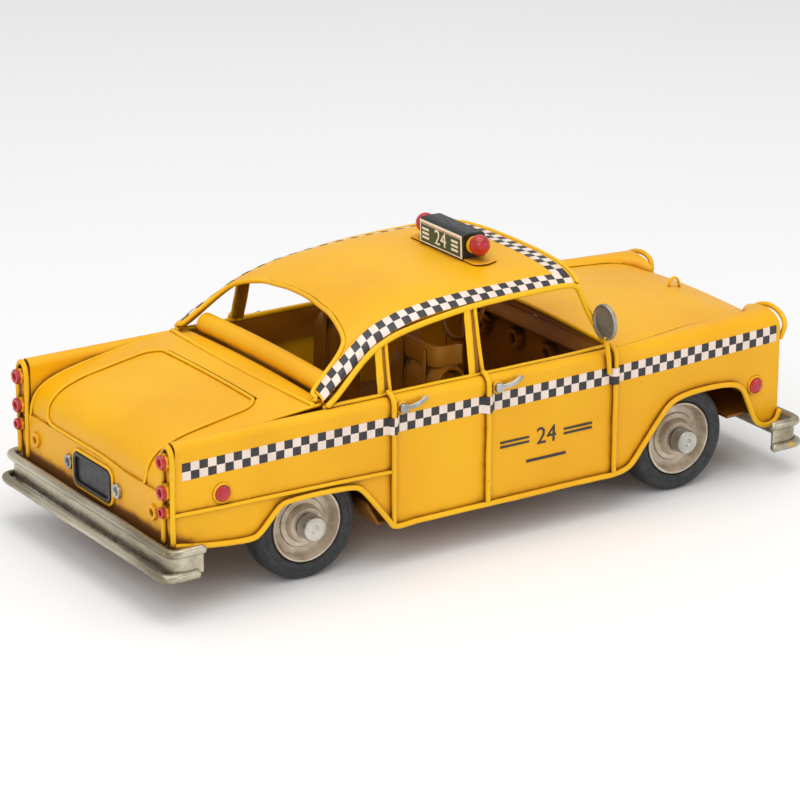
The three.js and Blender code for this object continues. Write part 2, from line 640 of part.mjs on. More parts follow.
function makeParcelShelf() {
  const [x, z, r] = [-65.8, 68.8, 4];
  const shape = new THREE.Shape();
  shape.absarc(x, z, r, Math.PI * 1.15, -Math.PI * 0.2, true);
  shape.absarc(x, z, r - SHEET, -Math.PI * 0.2, Math.PI * 1.15, false);
  piece('parcel_shelf', plateXZ(shape, -43.2, 43.2), yellow);
}

// ---- Nose ---------------------------------------------------------------
function makeNose() {
  const rows = [55.7, 66, 82, 99.5, 115, 126, 131, 133.5, NOSE_X].map((x) => {
    const half = between(HOOD_HALF, x);
    return steps(-1, 1, 6).map((side) => new THREE.Vector3(x, side * half,
      between(HOOD_CENTRE_Z, x) - (between(HOOD_CENTRE_Z, x) - between(SEAM_Z, x)) * side * side));
  });
  piece('hood', geometryOf(solid(sheet(rows))), yellow);
  const ornament = wire([[121, 0, 64.3], [121.6, 0, 66.4], [123.6, 0, 67.3], [126, 0, 66.4],
    [127.6, 0, 62.8]], 0.8, 12);
  piece('hood_ornament', ornament, yellow);
  const half = [[28, 55.6], [31, 56.2], [35, 58.6], [40, 60.6], [44.5, 61], [48.2, 59.6],
    [50.4, 56.5], [50.4, 21.5]];
  const flipped = half.map(([y, z]) => [-y, z]).reverse();
  piece('front_panel', plateYZ(outline([...half, ...flipped]), NOSE_X - 2.3, NOSE_X - 1.3), yellow);
  makeGrille(NOSE_X - 1.3 + GAP);
  makeHeadlights(NOSE_X - 1.3 + GAP);
}

function makeGrille(x) {
  const [low, high, half, bar] = [29, 53, 27, 0.7];
  const frame = cut(solid(plateYZ(roundedRectangle(half, low, high, 3), x, x + 1.8)),
    [plateYZ(roundedRectangle(half - 1.6, low + 1.6, high - 1.6, 2), x - 1, x + 3)]);
  const across = steps(low, high, 3).slice(1, 3).map(
    (z) => box([x, -half + 1, z - bar], [x + 1.2, half - 1, z + bar]));
  const upright = steps(-half, half, 5).slice(1, 5).map(
    (y) => box([x + 0.2, y - bar, low + 1], [x + 1, y + bar, high - 1]));
  piece('grille', geometryOf([...across, ...upright].map(solid).reduce(
    (whole, next) => whole.add(next), frame)), pewter);
}

function makeHeadlights(x) {
  const profile = [[0, 0], [8.8, 0], [9.2, 1.6], [8.4, 3], [7.2, 2.6], [4, 3.5], [0, 3.8]];
  const lamp = new THREE.LatheGeometry(profile.map(([r, h]) => new THREE.Vector2(r, h)), 16)
    .rotateZ(-Math.PI / 2).translate(x, 42, 46.5);
  pair('headlight', geometryOf(solid(lamp)), pewter);
  const brow = [[NOSE_X + 1.4, 32.2, 58.6], [NOSE_X + 2.6, 34.6, 61.4], [NOSE_X + 3.3, 39, 62.9],
    [NOSE_X + 3.4, 43.6, 63], [NOSE_X + 3.2, 48.8, 61.5], [NOSE_X + 2.6, 52, 58.2],
    [NOSE_X + 1.4, 51, 52.8]];
  pair('headlight_hood', wire(brow, WIRE, 20), yellow);
}

// ---- Floor and cabin ----------------------------------------------------
function makeFloor() {
  const t = SHEET;
  const profile = outline([[-135.8, FLOOR_HIGH_Z], [-57, FLOOR_HIGH_Z], [-52, FLOOR_LOW_Z],
    [59, FLOOR_LOW_Z], [64, FLOOR_HIGH_Z], [133, FLOOR_HIGH_Z], [133, FLOOR_HIGH_Z + t],
    [63.4, FLOOR_HIGH_Z + t], [58.4, FLOOR_LOW_Z + t], [-51.4, FLOOR_LOW_Z + t],
    [-56.4, FLOOR_HIGH_Z + t], [-135.8, FLOOR_HIGH_Z + t]]);
  const plan = outline([[-140, -55.6], [52, -55.6], [134, -50.6], [134, 50.6], [52, 55.6],
    [-140, 55.6]]);
  const wells = [REAR_AXLE_X, FRONT_AXLE_X].flatMap((x) => [1, -1].map((side) => {
    const ys = [36.5 * side, 60 * side].sort((a, b) => a - b);
    return box([x - 23.6, ys[0], 0], [x + 23.6, ys[1], 60]);
  }));
  const driveSlot = box([REAR_AXLE_X - 32, -13.5, 0], [REAR_AXLE_X + 13, 13.5, 60]);
  const floor = solid(plateXZ(profile, -56, 56)).intersect(solid(plateXY(plan, 0, 60)));
  piece('floor_pan', geometryOf(cut(floor, [...wells, driveSlot])), innerYellow);
}

function makeCabin() {
  const dash = plateXZ(outline([[53.4, 62], [51.6, 57.2], [56.6, 55.6], [56.6, 26.4], [57.6, 26.4],
    [57.6, 56.3], [53, 57.7], [54.3, 61.6]]), -49.4, 49.4);
  const dials = [-11.3, 11.3].map((y) => hexX(8, 53.6, 57, y, 50));
  piece('dashboard', geometryOf(joined([dash, ...dials])), innerYellow);
  makeSteeringWheel();
  makeFrontSeats();
  const bench = plateXZ(outline([[-61.5, 27], [-50.4, 27], [-48, 18.6], [-27, 18.6], [-25, 31],
    [-28, 34], [-53.6, 35], [-56.4, 60], [-58.8, 62], [-61.5, 60]]), -38, 38);
  piece('rear_seat', bench, innerYellow);
}

function makeSteeringWheel() {
  const ring = new THREE.TorusGeometry(STEERING_RADIUS, 0.9, 4, 16);
  const spokes = [90, 210, 330].map(
    (degrees) => new THREE.BoxGeometry(STEERING_RADIUS + 0.3, 1.8, 1)
      .translate(STEERING_RADIUS / 2, 0, 0).rotateZ(THREE.MathUtils.degToRad(degrees)));
  const hub = new THREE.CylinderGeometry(2.4, 2.4, 2, 10).rotateX(Math.PI / 2);
  const column = new THREE.CylinderGeometry(1, 1, 15, 8).rotateX(Math.PI / 2)
    .translate(0, 0, -7.5);
  const parts = [ring, ...spokes, hub, column].map(
    (geometry) => geometry.rotateY(STEERING_TILT).translate(...STEERING_CENTRE));
  piece('steering_wheel', geometryOf(joined(parts)), innerYellow);
}

// A seat back of strips rolled over at the top, a cushion on legs, and a headrest on uprights.
function makeFrontSeats() {
  const x = (forward) => SEAT_REAR_X + forward;
  const width = (SEAT_OUTER_Y - SEAT_INNER_Y) / SEAT_STRIPS;
  const middle = (SEAT_INNER_Y + SEAT_OUTER_Y) / 2;
  const section = outline([[x(0), 26], [x(1), 62], [x(4), 65], [x(9), 64.4], [x(11.4), 60.4],
    [x(10.4), 59.8], [x(8), 62.6], [x(5), 63], [x(3), 60.6], [x(3), 26]]);
  const strips = steps(SEAT_INNER_Y, SEAT_OUTER_Y - width, SEAT_STRIPS - 1).map(
    (y) => plateXZ(section, y, y + width + (y + width < SEAT_OUTER_Y - 1 ? 0.2 : 0)));
  const cushion = box([x(0.4), SEAT_INNER_Y, 22], [x(35), SEAT_OUTER_Y, 32]);
  const legs = [5, 27].map((forward) => box(
    [x(forward), SEAT_INNER_Y + 4, FLOOR_LOW_Z + SHEET + GAP],
    [x(forward + 4), SEAT_OUTER_Y - 4, 23]));
  const headrest = plateXY(roundedBand(x(1), x(12), middle - 13, middle + 13), 65.6, 73.4);
  const uprights = [-7.5, 7.5].map((offset) => box(
    [x(-0.6), middle + offset - 1.2, 50], [x(1.6), middle + offset + 1.2, 71]));
  pair('front_seat', geometryOf(joined([...strips, cushion, ...legs, headrest, ...uprights])),
    innerYellow);
}

// A flat band bent into a C that opens forward, seen from above.
function roundedBand(xBack, xFront, yLow, yHigh) {
  const r = 4;
  const t = 1.2;
  const shape = new THREE.Shape();
  shape.moveTo(xFront, yLow);
  shape.lineTo(xFront, yLow + t);
  shape.absarc(xBack + r, yLow + r, r - t, Math.PI * 1.5, Math.PI, true);
  shape.absarc(xBack + r, yHigh - r, r - t, Math.PI, Math.PI / 2, true);
  shape.lineTo(xFront, yHigh - t);
  shape.lineTo(xFront, yHigh);
  shape.absarc(xBack + r, yHigh - r, r, Math.PI / 2, Math.PI, false);
  shape.absarc(xBack + r, yLow + r, r, Math.PI, Math.PI * 1.5, false);
  return shape;
}

// ---- Roof sign and mirrors ----------------------------------------------
function makeSign() {
  const base = outline([[11.2, -20.4], [13, -23], [18, -23.8], [23.4, -22], [23.4, 22], [18, 23.8],
    [13, 23], [11.2, 20.4]]);
  piece('sign_base', plateXY(base, SIGN_BASE_Z, SIGN_BASE_Z + SIGN_BASE), yellow);
  const z = SIGN_BASE_Z + SIGN_BASE + GAP;
  const side = new THREE.Shape();
  side.moveTo(12.4, z);
  side.lineTo(22.7, z);
  side.lineTo(22.8, z + 6.6);
  side.quadraticCurveTo(22.8, 105.6, 20, 105.7);
  side.lineTo(15.4, 105.7);
  side.lineTo(12.2, 104.9);
  piece('sign_box', plateXZ(side, -SIGN_HALF, SIGN_HALF), black);
  const lamp = new THREE.SphereGeometry(SIGN_LAMP, 14, 8).rotateX(Math.PI / 2)
    .translate(17, SIGN_HALF + GAP + SIGN_LAMP, 102);
  pair('sign_lamp', geometryOf(solid(lamp)), red);
}

function makeMirrors() {
  const disc = rodX(7, 47.5, 49.2, 56.6, 76.4, 16);
  const stem = wire([[48.4, 58.4, 58.6], [48.4, 58.4, 64], [48.4, 57.6, 72]], 0.9, 6);
  pair('mirror', geometryOf(joined([disc, stem])), steel);
}

// ---- Wheels and axles ---------------------------------------------------
function ring(profile, x, flip, segments = 18) {
  const closed = [...profile, profile[0]].map(([r, y]) => new THREE.Vector2(r, y));
  const geometry = new THREE.LatheGeometry(closed, segments).translate(x, 0, AXLE_Z);
  return flip ? mirrored(geometry) : geometry;
}

const TYRE_PROFILE = [[RIM_RADIUS + GAP, TYRE_INNER_Y], [19, TYRE_INNER_Y],
  [TYRE_RADIUS, TYRE_INNER_Y + 2.6], [TYRE_RADIUS, TYRE_OUTER_Y - 2.6], [19, TYRE_OUTER_Y],
  [RIM_RADIUS + GAP, TYRE_OUTER_Y]];
const RIM_PROFILE = [[AXLE_RADIUS + GAP, 41], [4, 41], [4, 46], [RIM_RADIUS, 46],
  [RIM_RADIUS, 52.2], [13.2, 52.2], [11.6, 48.6], [6.6, 49.8], [6.2, RIM_HUB_Y],
  [AXLE_RADIUS + GAP, RIM_HUB_Y]];

function makeWheels() {
  [['front', FRONT_AXLE_X], ['rear', REAR_AXLE_X]].forEach(([end, x]) => {
    [['left', false], ['right', true]].forEach(([side, flip]) => {
      piece(`tyre_${end}_${side}`, geometryOf(solid(ring(TYRE_PROFILE, x, flip))), rubber);
      piece(`rim_${end}_${side}`, geometryOf(solid(ring(RIM_PROFILE, x, flip))), rimGrey);
    });
    const capStart = RIM_HUB_Y + GAP;
    const axle = [
      rodY(AXLE_RADIUS, -capStart - 1, capStart + 1, x, AXLE_Z),
      rodY(CAP_RADIUS, capStart, CAP_END_Y, x, AXLE_Z),
      rodY(CAP_RADIUS, -CAP_END_Y, -capStart, x, AXLE_Z)];
    piece(`${end}_axle`, geometryOf(joined(axle)), steel);
  });
}

function makeFrontBracket() {
  const [low, high] = [AXLE_Z - 3.6, FLOOR_HIGH_Z - GAP];
  const ears = [-31, 30].map((y) => box([FRONT_AXLE_X - 4, y, low], [FRONT_AXLE_X + 4, y + 1, high]));
  const top = box([FRONT_AXLE_X - 4, -31, high - 0.8], [FRONT_AXLE_X + 4, 31, high]);
  const bores = rodY(AXLE_RADIUS + BORE_PLAY, -40, 40, FRONT_AXLE_X, AXLE_Z);
  piece('front_axle_bracket', geometryOf(cut(joined([...ears, top]), [bores])), steel);
}

// ---- Flywheel drive -----------------------------------------------------
const pitchRadius = (teeth) => (GEAR_MODULE * teeth) / 2;

// The centre of a pinion that meshes with a gear, in the given direction from it.
function meshing(centre, teeth, angle) {
  const distance = pitchRadius(teeth) + pitchRadius(PINION_TEETH);
  return { x: centre.x + distance * Math.cos(angle), z: centre.z + distance * Math.sin(angle) };
}

const REAR_AXLE = { x: REAR_AXLE_X, z: AXLE_Z };
const LAY = meshing(REAR_AXLE, AXLE_TEETH, LAY_ANGLE);
const FLY = meshing(LAY, LAY_TEETH, FLY_ANGLE);

// A spur gear with slender straight-sided teeth; one tooth points along `phase`.
function gear(teeth, phase, yLow, yHigh, centre) {
  const pitch = (2 * Math.PI) / teeth;
  const root = pitchRadius(teeth) - 0.62;
  const tip = pitchRadius(teeth) + 0.42;
  const tooth = [[-0.31, root], [-0.15, tip], [0.15, tip], [0.31, root]];
  const points = Array.from({ length: teeth }, (_, k) => tooth.map(([share, radius]) => {
    const turn = phase + (k + share) * pitch;
    return [centre.x + radius * Math.cos(turn), centre.z + radius * Math.sin(turn)];
  })).flat();
  return plateXZ(outline(points), yLow, yHigh);
}

// A pinion turned half a tooth, so that its gap faces the gear it meshes with.
function pinion(angle, yLow, yHigh, centre) {
  return gear(PINION_TEETH, angle + Math.PI + Math.PI / PINION_TEETH, yLow, yHigh, centre);
}

function shaft(radius, { x, z }) {
  return rodY(radius, -SHAFT_END_Y, SHAFT_END_Y, x, z);
}

function makeDrive() {
  const bore = rodY(AXLE_RADIUS + GAP / 2, -12, 12, REAR_AXLE_X, AXLE_Z);
  const axleGear = cut(solid(gear(AXLE_TEETH, LAY_ANGLE, -9, -6, REAR_AXLE)), [bore]);
  const layGear = joined([
    pinion(LAY_ANGLE, -9.5, -2, LAY),
    gear(LAY_TEETH, FLY_ANGLE, -2.4, 0.4, LAY),
    shaft(LAY_SHAFT, LAY)]);
  const flywheel = joined([
    pinion(FLY_ANGLE, -2.8, 4.4, FLY),
    rodY(FLYWHEEL_RADIUS, 4, 10, FLY.x, FLY.z, 28),
    shaft(FLY_SHAFT, FLY)]);
  piece('axle_gear', geometryOf(axleGear), brass);
  piece('lay_gear', geometryOf(layGear), brass);
  piece('flywheel', geometryOf(flywheel), steel);
  makeDriveFrame();
}

function makeDriveFrame() {
  const top = FLY.z + FLYWHEEL_RADIUS + 1.2;
  const rear = FLY.x - 11;
  const side = outline([[-84.5, 16.8], [-75.5, 16.8], [-73, 24], [-78, 34], [-88, top + 1],
    [rear, top + 1], [rear, 27], [-92, 22]]);
  const shafts = [[AXLE_RADIUS, REAR_AXLE], [LAY_SHAFT, LAY], [FLY_SHAFT, FLY]];
  const bores = shafts.map(([radius, { x, z }]) => rodY(radius + BORE_PLAY, -20, 20, x, z));
  const plates = [
    plateXZ(side, FRAME_Y, FRAME_Y + 1),
    plateXZ(side, -FRAME_Y - 1, -FRAME_Y)];
  const bridge = box([rear, -FRAME_Y - 1, top], [-88, FRAME_Y + 1, top + 1]);
  const footZ = FLOOR_HIGH_Z + SHEET + GAP;
  const feet = [[FRAME_Y, 20], [-20, -FRAME_Y]].flatMap(([yLow, yHigh]) => [
    box([-84, yLow, footZ], [-76, yHigh, footZ + 1]),
    box([FLY.x - 10, yLow, footZ + 0.6], [FLY.x - 4, yHigh, footZ + 1.6])]);
  piece('drive_frame', geometryOf(cut(joined([...plates, bridge, ...feet]), bores)), steel);
}

makeFloor();
makeSides();
makeSideTrim();
makeTail();
makeTailLights();
makeNumberPlate();
makeBumpers();
makeRoof();
makeSideFrames();
makeRoofWires();
makeParcelShelf();
makeNose();
makeCabin();
makeSign();
makeMirrors();
makeWheels();
makeFrontBracket();
makeDrive();

export default car;
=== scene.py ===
"""Friction tin car: the visual model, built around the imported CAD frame.

Lengths in the tables are millimetres in the CAD's own axes: +X forward, +Y left, +Z up.
"""

import math

import bmesh
import bpy
from mathutils import Matrix, Vector, noise


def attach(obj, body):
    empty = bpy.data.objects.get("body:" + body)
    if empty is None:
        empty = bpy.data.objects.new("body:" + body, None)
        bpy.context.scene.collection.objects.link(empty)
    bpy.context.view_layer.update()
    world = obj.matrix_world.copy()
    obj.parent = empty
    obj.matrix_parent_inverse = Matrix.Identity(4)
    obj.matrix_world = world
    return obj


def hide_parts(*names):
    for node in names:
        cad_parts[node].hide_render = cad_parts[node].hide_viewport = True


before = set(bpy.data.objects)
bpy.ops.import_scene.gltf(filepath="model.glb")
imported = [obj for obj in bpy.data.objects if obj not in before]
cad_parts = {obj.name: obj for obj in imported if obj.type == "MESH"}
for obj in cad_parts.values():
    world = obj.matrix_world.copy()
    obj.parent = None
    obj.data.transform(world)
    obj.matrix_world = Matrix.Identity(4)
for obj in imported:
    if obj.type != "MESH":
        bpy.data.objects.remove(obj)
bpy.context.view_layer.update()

MM = 0.001
BODY = "car_body"

# ---- Driving dimensions, as in the CAD ----
SHEET = 1.0
GAP = 0.3
WIRE = 1.0
REAR_AXLE_X = -80.0
FRONT_AXLE_X = 88.0
AXLE_Z = 21.2
TAIL_X = -136.7
DOOR_REAR_X = -46.5
DOOR_SPLIT_X = -5.0
DOOR_FRONT_X = 53.0
NOSE_X = 136.0
SIDE_Y = 57.0
NOSE_SIDE_Y = 52.5
BELT_Z = 64.8
PANEL_TOP_Z = BELT_Z - 0.4
SILL_Z = 15.6
SHOULDER = 3.0
BUMPER_X = 141.4
BUMPER_RAIL = 1.75
BUMPER_WRAP = 13.0
DECK_HALF = 50.6
LID_HALF = 37.0
LID_FRONT_X = -88.8
LID_CORNER = 9.0
PILLAR_BASE_X = -71.0
PANEL_X = -137.2

REAR_EDGE = [(-136.7, 26.2), (-124, 24.9), (-106, 23.7), (-103.6, 24.8), (-95.2, 33.2), (-93, 34.4),
             (-63, 33.9), (-60.6, 32.6), (-48.6, 18.2), (-46.5, 15.6)]
FRONT_EDGE = [(53, 15.6), (60, 17.2), (66.5, 24), (74, 32.6), (80, 38.3), (87, 40.4), (109, 40),
              (115.5, 37.5), (120, 29.8), (124, 22), (129, 19.3), (134, 20.3), (136, 24)]
HOOD_HALF = [(53, 53.4), (75, 49), (99.5, 43.1), (126, 40.2), (131, 37), (133.5, 31.5), (136, 28.7)]
SEAM_Z = [(53, 64), (75, 63.5), (100, 62.6), (126, 61), (136, 58.3)]
HOOD_CENTRE_Z = [(53, 67), (80, 66.2), (110, 64), (126, 61.8), (136, 59)]
DECK_PROFILE = [(-137.2, 43.8), (-136.9, 48), (-135.3, 51.8), (-131.5, 55.2), (-124, 58),
                (-112, 60.4), (-88.8, 64.3), (-78, 65.4), (-70.6, 65.2)]
DECK_CROWN = 1.4
# Along the roof: x, y and z of its edge, the rise of its crown, and how flat the crown is.
ROOF = [(-73.5, 52.8, 66.9, 5.4, 0), (-66.5, 51.2, 71.4, 7.4, 0), (-60.3, 49.6, 74.8, 9.6, 0),
        (-54, 48.3, 78.7, 10.2, 0.1), (-47.5, 47.3, 82.6, 8.3, 0.4), (-38, 46.5, 86.1, 6.8, 0.8),
        (-28, 46, 88.2, 5.9, 1), (-7, 46, 90.3, 4.9, 1), (14, 46, 90.9, 4.2, 1),
        (30, 46, 90.8, 4.3, 1), (41.4, 46, 90.1, 4.4, 0.8)]
SHOULDER_POWER = 4.5
FRONT_BOW = 4.0
RAIL = [(-71.8, 53.4, 65.2), (-67.7, 52.4, 67.5), (-60, 50.7, 73.5), (-54.6, 49.4, 77.5),
        (-48.8, 48.4, 81), (-43.2, 47.9, 83.2), (-38, 47.5, 84.7), (-28, 47.1, 86.5),
        (-18.7, 47, 87.8), (-7.9, 47, 89.1), (6, 47, 89.9), (20, 47, 90.2), (40.6, 47.1, 89.5)]
WINDOW_EDGE = [(-49.3, 0), (-49.5, 8), (-50.4, 15), (-51, 22.4), (-52.2, 28.9), (-53.6, 34.7),
               (-54.9, 38.6), (-56.4, 40.8), (-59.4, 42.6), (-62.8, 43.8), (-67.3, 44.9), (-73.5, 46.6)]
WINDOW_CORNER_Y = 46.6


# ---- Lines and tables ----
def spline(points, per=10):
    """Points along a centripetal Catmull-Rom curve through the given ones."""
    pts = [Vector(p) for p in points]
    pts = [pts[0] * 2 - pts[1], *pts, pts[-1] * 2 - pts[-2]]
    line = []
    for k in range(1, len(pts) - 2):
        p = pts[k - 1:k + 3]
        t = [0.0]
        for a, b in zip(p, p[1:]):
            t.append(t[-1] + max((b - a).length, 1e-6) ** 0.5)
        for s in range(per):
            u = t[1] + (t[2] - t[1]) * s / per
            a = [p[i] * ((t[i + 1] - u) / (t[i + 1] - t[i]))
                 + p[i + 1] * ((u - t[i]) / (t[i + 1] - t[i])) for i in range(3)]
            b = [a[i] * ((t[i + 2] - u) / (t[i + 2] - t[i]))
                 + a[i + 1] * ((u - t[i]) / (t[i + 2] - t[i])) for i in range(2)]
            line.append(b[0] * ((t[2] - u) / (t[2] - t[1])) + b[1] * ((u - t[1]) / (t[2] - t[1])))
    line.append(pts[-2].copy())
    return line


def resampled(line, spacing):
    """The same line with points about `spacing` apart."""
    lengths = [0.0]
    for a, b in zip(line, line[1:]):
        lengths.append(lengths[-1] + (b - a).length)
    count = max(2, round(lengths[-1] / spacing))
    out, k = [], 0
    for i in range(count + 1):
        want = lengths[-1] * i / count
        while k < len(line) - 2 and lengths[k + 1] < want:
            k += 1
        span = max(lengths[k + 1] - lengths[k], 1e-9)
        out.append(line[k].lerp(line[k + 1], min(1.0, (want - lengths[k]) / span)))
    return out


def side_curve(points, spacing):
    """A smooth line through (x, z) points, in the middle plane of the car."""
    return resampled(spline([(x, 0, z) for x, z in points]), spacing)


def table(points):
    """A smooth function through (x, value) stations."""
    line = [(p[0], p[1]) for p in spline([(a, b, 0) for a, b in points], 12)]

    def value(x):
        if x <= line[0][0]:
            return line[0][1]
        for (xa, a), (xb, b) in zip(line, line[1:]):
            if x <= xb:
                return a + (b - a) * (x - xa) / max(xb - xa, 1e-9)
        return line[-1][1]
    return value


def steps(low, high, count):
    return [low + (high - low) * i / count for i in range(count + 1)]


def stations(low, high, spacing):
    return steps(low, high, max(1, round((high - low) / spacing)))


def clamp(x, low=0.0, high=1.0):
    return max(low, min(high, x))


rear_edge = table(REAR_EDGE)
front_edge = table(FRONT_EDGE)
hood_half = table(HOOD_HALF)
seam_z = table(SEAM_Z)
hood_centre_z = table(HOOD_CENTRE_Z)


# ---- Mesh parts: each is (vertices, faces, material index of each face) ----
def part(verts, faces):
    return [Vector(v) for v in verts], [tuple(f) for f in faces], [0] * len(faces)


def merged(*parts):
    verts, faces, slots = [], [], []
    for v, f, s in parts:
        base = len(verts)
        verts += v
        faces += [tuple(i + base for i in face) for face in f]
        slots += s
    return verts, faces, slots


def mirrored(p):
    return [Vector((v.x, -v.y, v.z)) for v in p[0]], p[1], p[2]


def moved(p, matrix):
    return [matrix @ v for v in p[0]], p[1], p[2]


def shell(rows, thickness=SHEET, keep=None):
    """A closed sheet whose outer face passes through a grid of points."""
    n, m = len(rows), len(rows[0])
    rows = [[Vector(p) for p in row] for row in rows]
    outer = [p for row in rows for p in row]
    inner = []
    for i in range(n):
        for j in range(m):
            along = rows[min(i + 1, n - 1)][j] - rows[max(i - 1, 0)][j]
            side = rows[i][min(j + 1, m - 1)] - rows[i][max(j - 1, 0)]
            inner.append(rows[i][j] - along.cross(side).normalized() * thickness)
    quads = [(i * m + j, (i + 1) * m + j, (i + 1) * m + j + 1, i * m + j + 1)
             for i in range(n - 1) for j in range(m - 1) if keep is None or keep(i, j)]
    back = len(outer)
    edges = {}
    for q in quads:
        for a, b in zip(q, q[1:] + q[:1]):
            edges[(a, b)] = edges.get((a, b), 0) + 1
    rims = [(b, a, a + back, b + back) for a, b in edges if (b, a) not in edges]
    faces = quads + [tuple(i + back for i in reversed(q)) for q in quads] + rims
    used = sorted({i for f in faces for i in f})
    where = {i: k for k, i in enumerate(used)}
    points = outer + inner
    return part([points[i] for i in used], [[where[i] for i in f] for f in faces])


def tube(line, radius, sides=10, flat=1.0, wander=0.0, closed=False):
    """A tube along a line of points, with rounded ends. `flat` squashes it across its second axis."""
    verts, faces = [], []
    n = len(line)
    normal = None
    rings = []
    for i, p in enumerate(line):
        if closed:
            tangent = (line[(i + 1) % n] - line[i - 1]).normalized()
        else:
            tangent = (line[min(i + 1, n - 1)] - line[max(i - 1, 0)]).normalized()
        if normal is None:
            normal = tangent.orthogonal().normalized()
            for axis in (Vector((0, 0, 1)), Vector((0, 1, 0))):
                if abs(tangent.dot(axis)) < 0.9:
                    normal = (axis - tangent * tangent.dot(axis)).normalized()
                    break
        normal = (normal - tangent * tangent.dot(normal)).normalized()
        other = tangent.cross(normal)
        grow = radius * (1 + wander * noise.noise(p * 0.23))
        shift = (normal * noise.noise(p * 0.05 + Vector((9, 0, 0)))
                 + other * noise.noise(p * 0.05 + Vector((0, 9, 0)))) * wander * radius * 1.5
        rings.append((p + shift, tangent, normal.copy(), other, grow))
    if not closed:
        p, t, a, b, g = rings[0]
        q, u, c, d, h = rings[-1]
        rings = ([(p - t * g * 0.55, t, a, b, g * 0.45), (p - t * g * 0.32, t, a, b, g * 0.82)] + rings
                 + [(q + u * h * 0.32, u, c, d, h * 0.82), (q + u * h * 0.55, u, c, d, h * 0.45)])
    for p, t, a, b, g in rings:
        for k in range(sides):
            w = 2 * math.pi * k / sides
            verts.append(p + a * (g * math.cos(w)) + b * (g * flat * math.sin(w)))
    count = len(rings)
    for i in range(count if closed else count - 1):
        for k in range(sides):
            a, b = i * sides + k, i * sides + (k + 1) % sides
            c, d = ((i + 1) % count) * sides + (k + 1) % sides, ((i + 1) % count) * sides + k
            faces.append((a, b, c, d))
    if not closed:
        faces.append(tuple(reversed(range(sides))))
        faces.append(tuple(range((count - 1) * sides, count * sides)))
    return part(verts, faces)


def wire(points, radius=WIRE, spacing=1.3, sides=10, wander=0.07, flat=1.0):
    """A hand-bent wire: a tube along a smooth line, with a little variation."""
    return tube(resampled(spline(points), spacing), radius, sides, flat, wander)


AXES = {"x": Matrix(((0, 0, 1, 0), (1, 0, 0, 0), (0, 1, 0, 0), (0, 0, 0, 1))),
        "y": Matrix(((0, 1, 0, 0), (0, 0, 1, 0), (1, 0, 0, 0), (0, 0, 0, 1))),
        "z": Matrix.Identity(4)}


def lathe(profile, centre, axis="x", segments=48, radius_at=None, turn=0.0):
    """A turned solid: profile is (radius, height) from one end of the axis to the other, or a loop."""
    loop = profile[0][0] > 1e-6
    verts, faces, rings = [], [], []
    for k, (r, h) in enumerate(profile):
        if r < 1e-6:
            rings.append([len(verts)])
            verts.append(Vector((0, 0, h)))
            continue
        ids = []
        for s in range(segments):
            w = 2 * math.pi * s / segments + turn
            reach = radius_at(k, r, w) if radius_at else r
            ids.append(len(verts))
            verts.append(Vector((reach * math.cos(w), reach * math.sin(w), h)))
        rings.append(ids)
    pairs = list(zip(rings, rings[1:] + ([rings[0]] if loop else [])))
    for a, b in pairs:
        for s in range(segments):
            t = (s + 1) % segments
            if len(a) == 1:
                faces.append((a[0], b[t], b[s]))
            elif len(b) == 1:
                faces.append((a[s], a[t], b[0]))
            else:
                faces.append((a[s], a[t], b[t], b[s]))
    place = Matrix.Translation(Vector(centre)) @ AXES[axis]
    return moved(part(verts, faces), place)


def prism(outline, axis, low, high):
    """A straight extrusion. The outline is in the two other axes, in the order that follows the axis."""
    n = len(outline)
    verts = [Vector((a, b, h)) for h in (low, high) for a, b in outline]
    faces = [tuple(reversed(range(n))), tuple(range(n, 2 * n))]
    faces += [(i, (i + 1) % n, n + (i + 1) % n, n + i) for i in range(n)]
    return moved(part(verts, faces), AXES[axis])


def block(low, high):
    return prism([(low[0], low[1]), (high[0], low[1]), (high[0], high[1]), (low[0], high[1])],
                 "z", low[2], high[2])


def rounded(half, low, high, radius, per=6):
    """A rounded rectangle, seen from behind, as (y, z) points."""
    out = []
    corners = [(half - radius, low + radius, -90), (half - radius, high - radius, 0),
               (-half + radius, high - radius, 90), (-half + radius, low + radius, 180)]
    for y, z, start in corners:
        for s in range(per + 1):
            w = math.radians(start + 90 * s / per)
            out.append((y + radius * math.cos(w), z + radius * math.sin(w)))
    return out


def band(outer, inner, low, high, axis="x"):
    """The ring between two outlines with the same number of points."""
    n = len(outer)
    verts = [Vector((a, b, h)) for line in (outer, inner) for h in (low, high) for a, b in line]
    faces = []
    for i in range(n):
        j = (i + 1) % n
        faces += [(i, j, n + j, n + i), (2 * n + j, 2 * n + i, 3 * n + i, 3 * n + j),
                  (n + i, n + j, 3 * n + j, 3 * n + i), (j, i, 2 * n + i, 2 * n + j)]
    return moved(part(verts, faces), AXES[axis])


def nut(centre, flats, depth, hole, turn=0.0):
    """A hexagonal nut with chamfered corners and a blind threaded hole, facing rearward from `centre`."""
    chamfer = depth * 0.16
    # The radii of the profile are marks, which radius_at turns into the nut's own.
    profile = [(0, 0), (1, 0), (1, depth - chamfer), (0.93, depth), (2, depth), (3, depth - 0.35)]
    profile += [(3 + (k % 2) * 0.5, depth - 0.35 - 0.3 * (k + 1)) for k in range(int(depth / 0.45) - 1)]
    profile.append((0, profile[-1][1]))

    def radius_at(k, r, w):
        corner = (w - turn + math.pi / 6) % (math.pi / 3) - math.pi / 6
        hexagon = flats / 2 / math.cos(corner)
        if k in (1, 2):
            return hexagon
        if k == 3:
            return min(hexagon, flats / 2 * 1.03)
        return hole * {2: 1.12, 3: 1.0, 3.5: 0.9}[r]
    p = lathe(profile, (0, 0, 0), "x", 24, radius_at, turn)
    for v in p[0]:
        v.x *= -1
        v += Vector(centre)
    return p


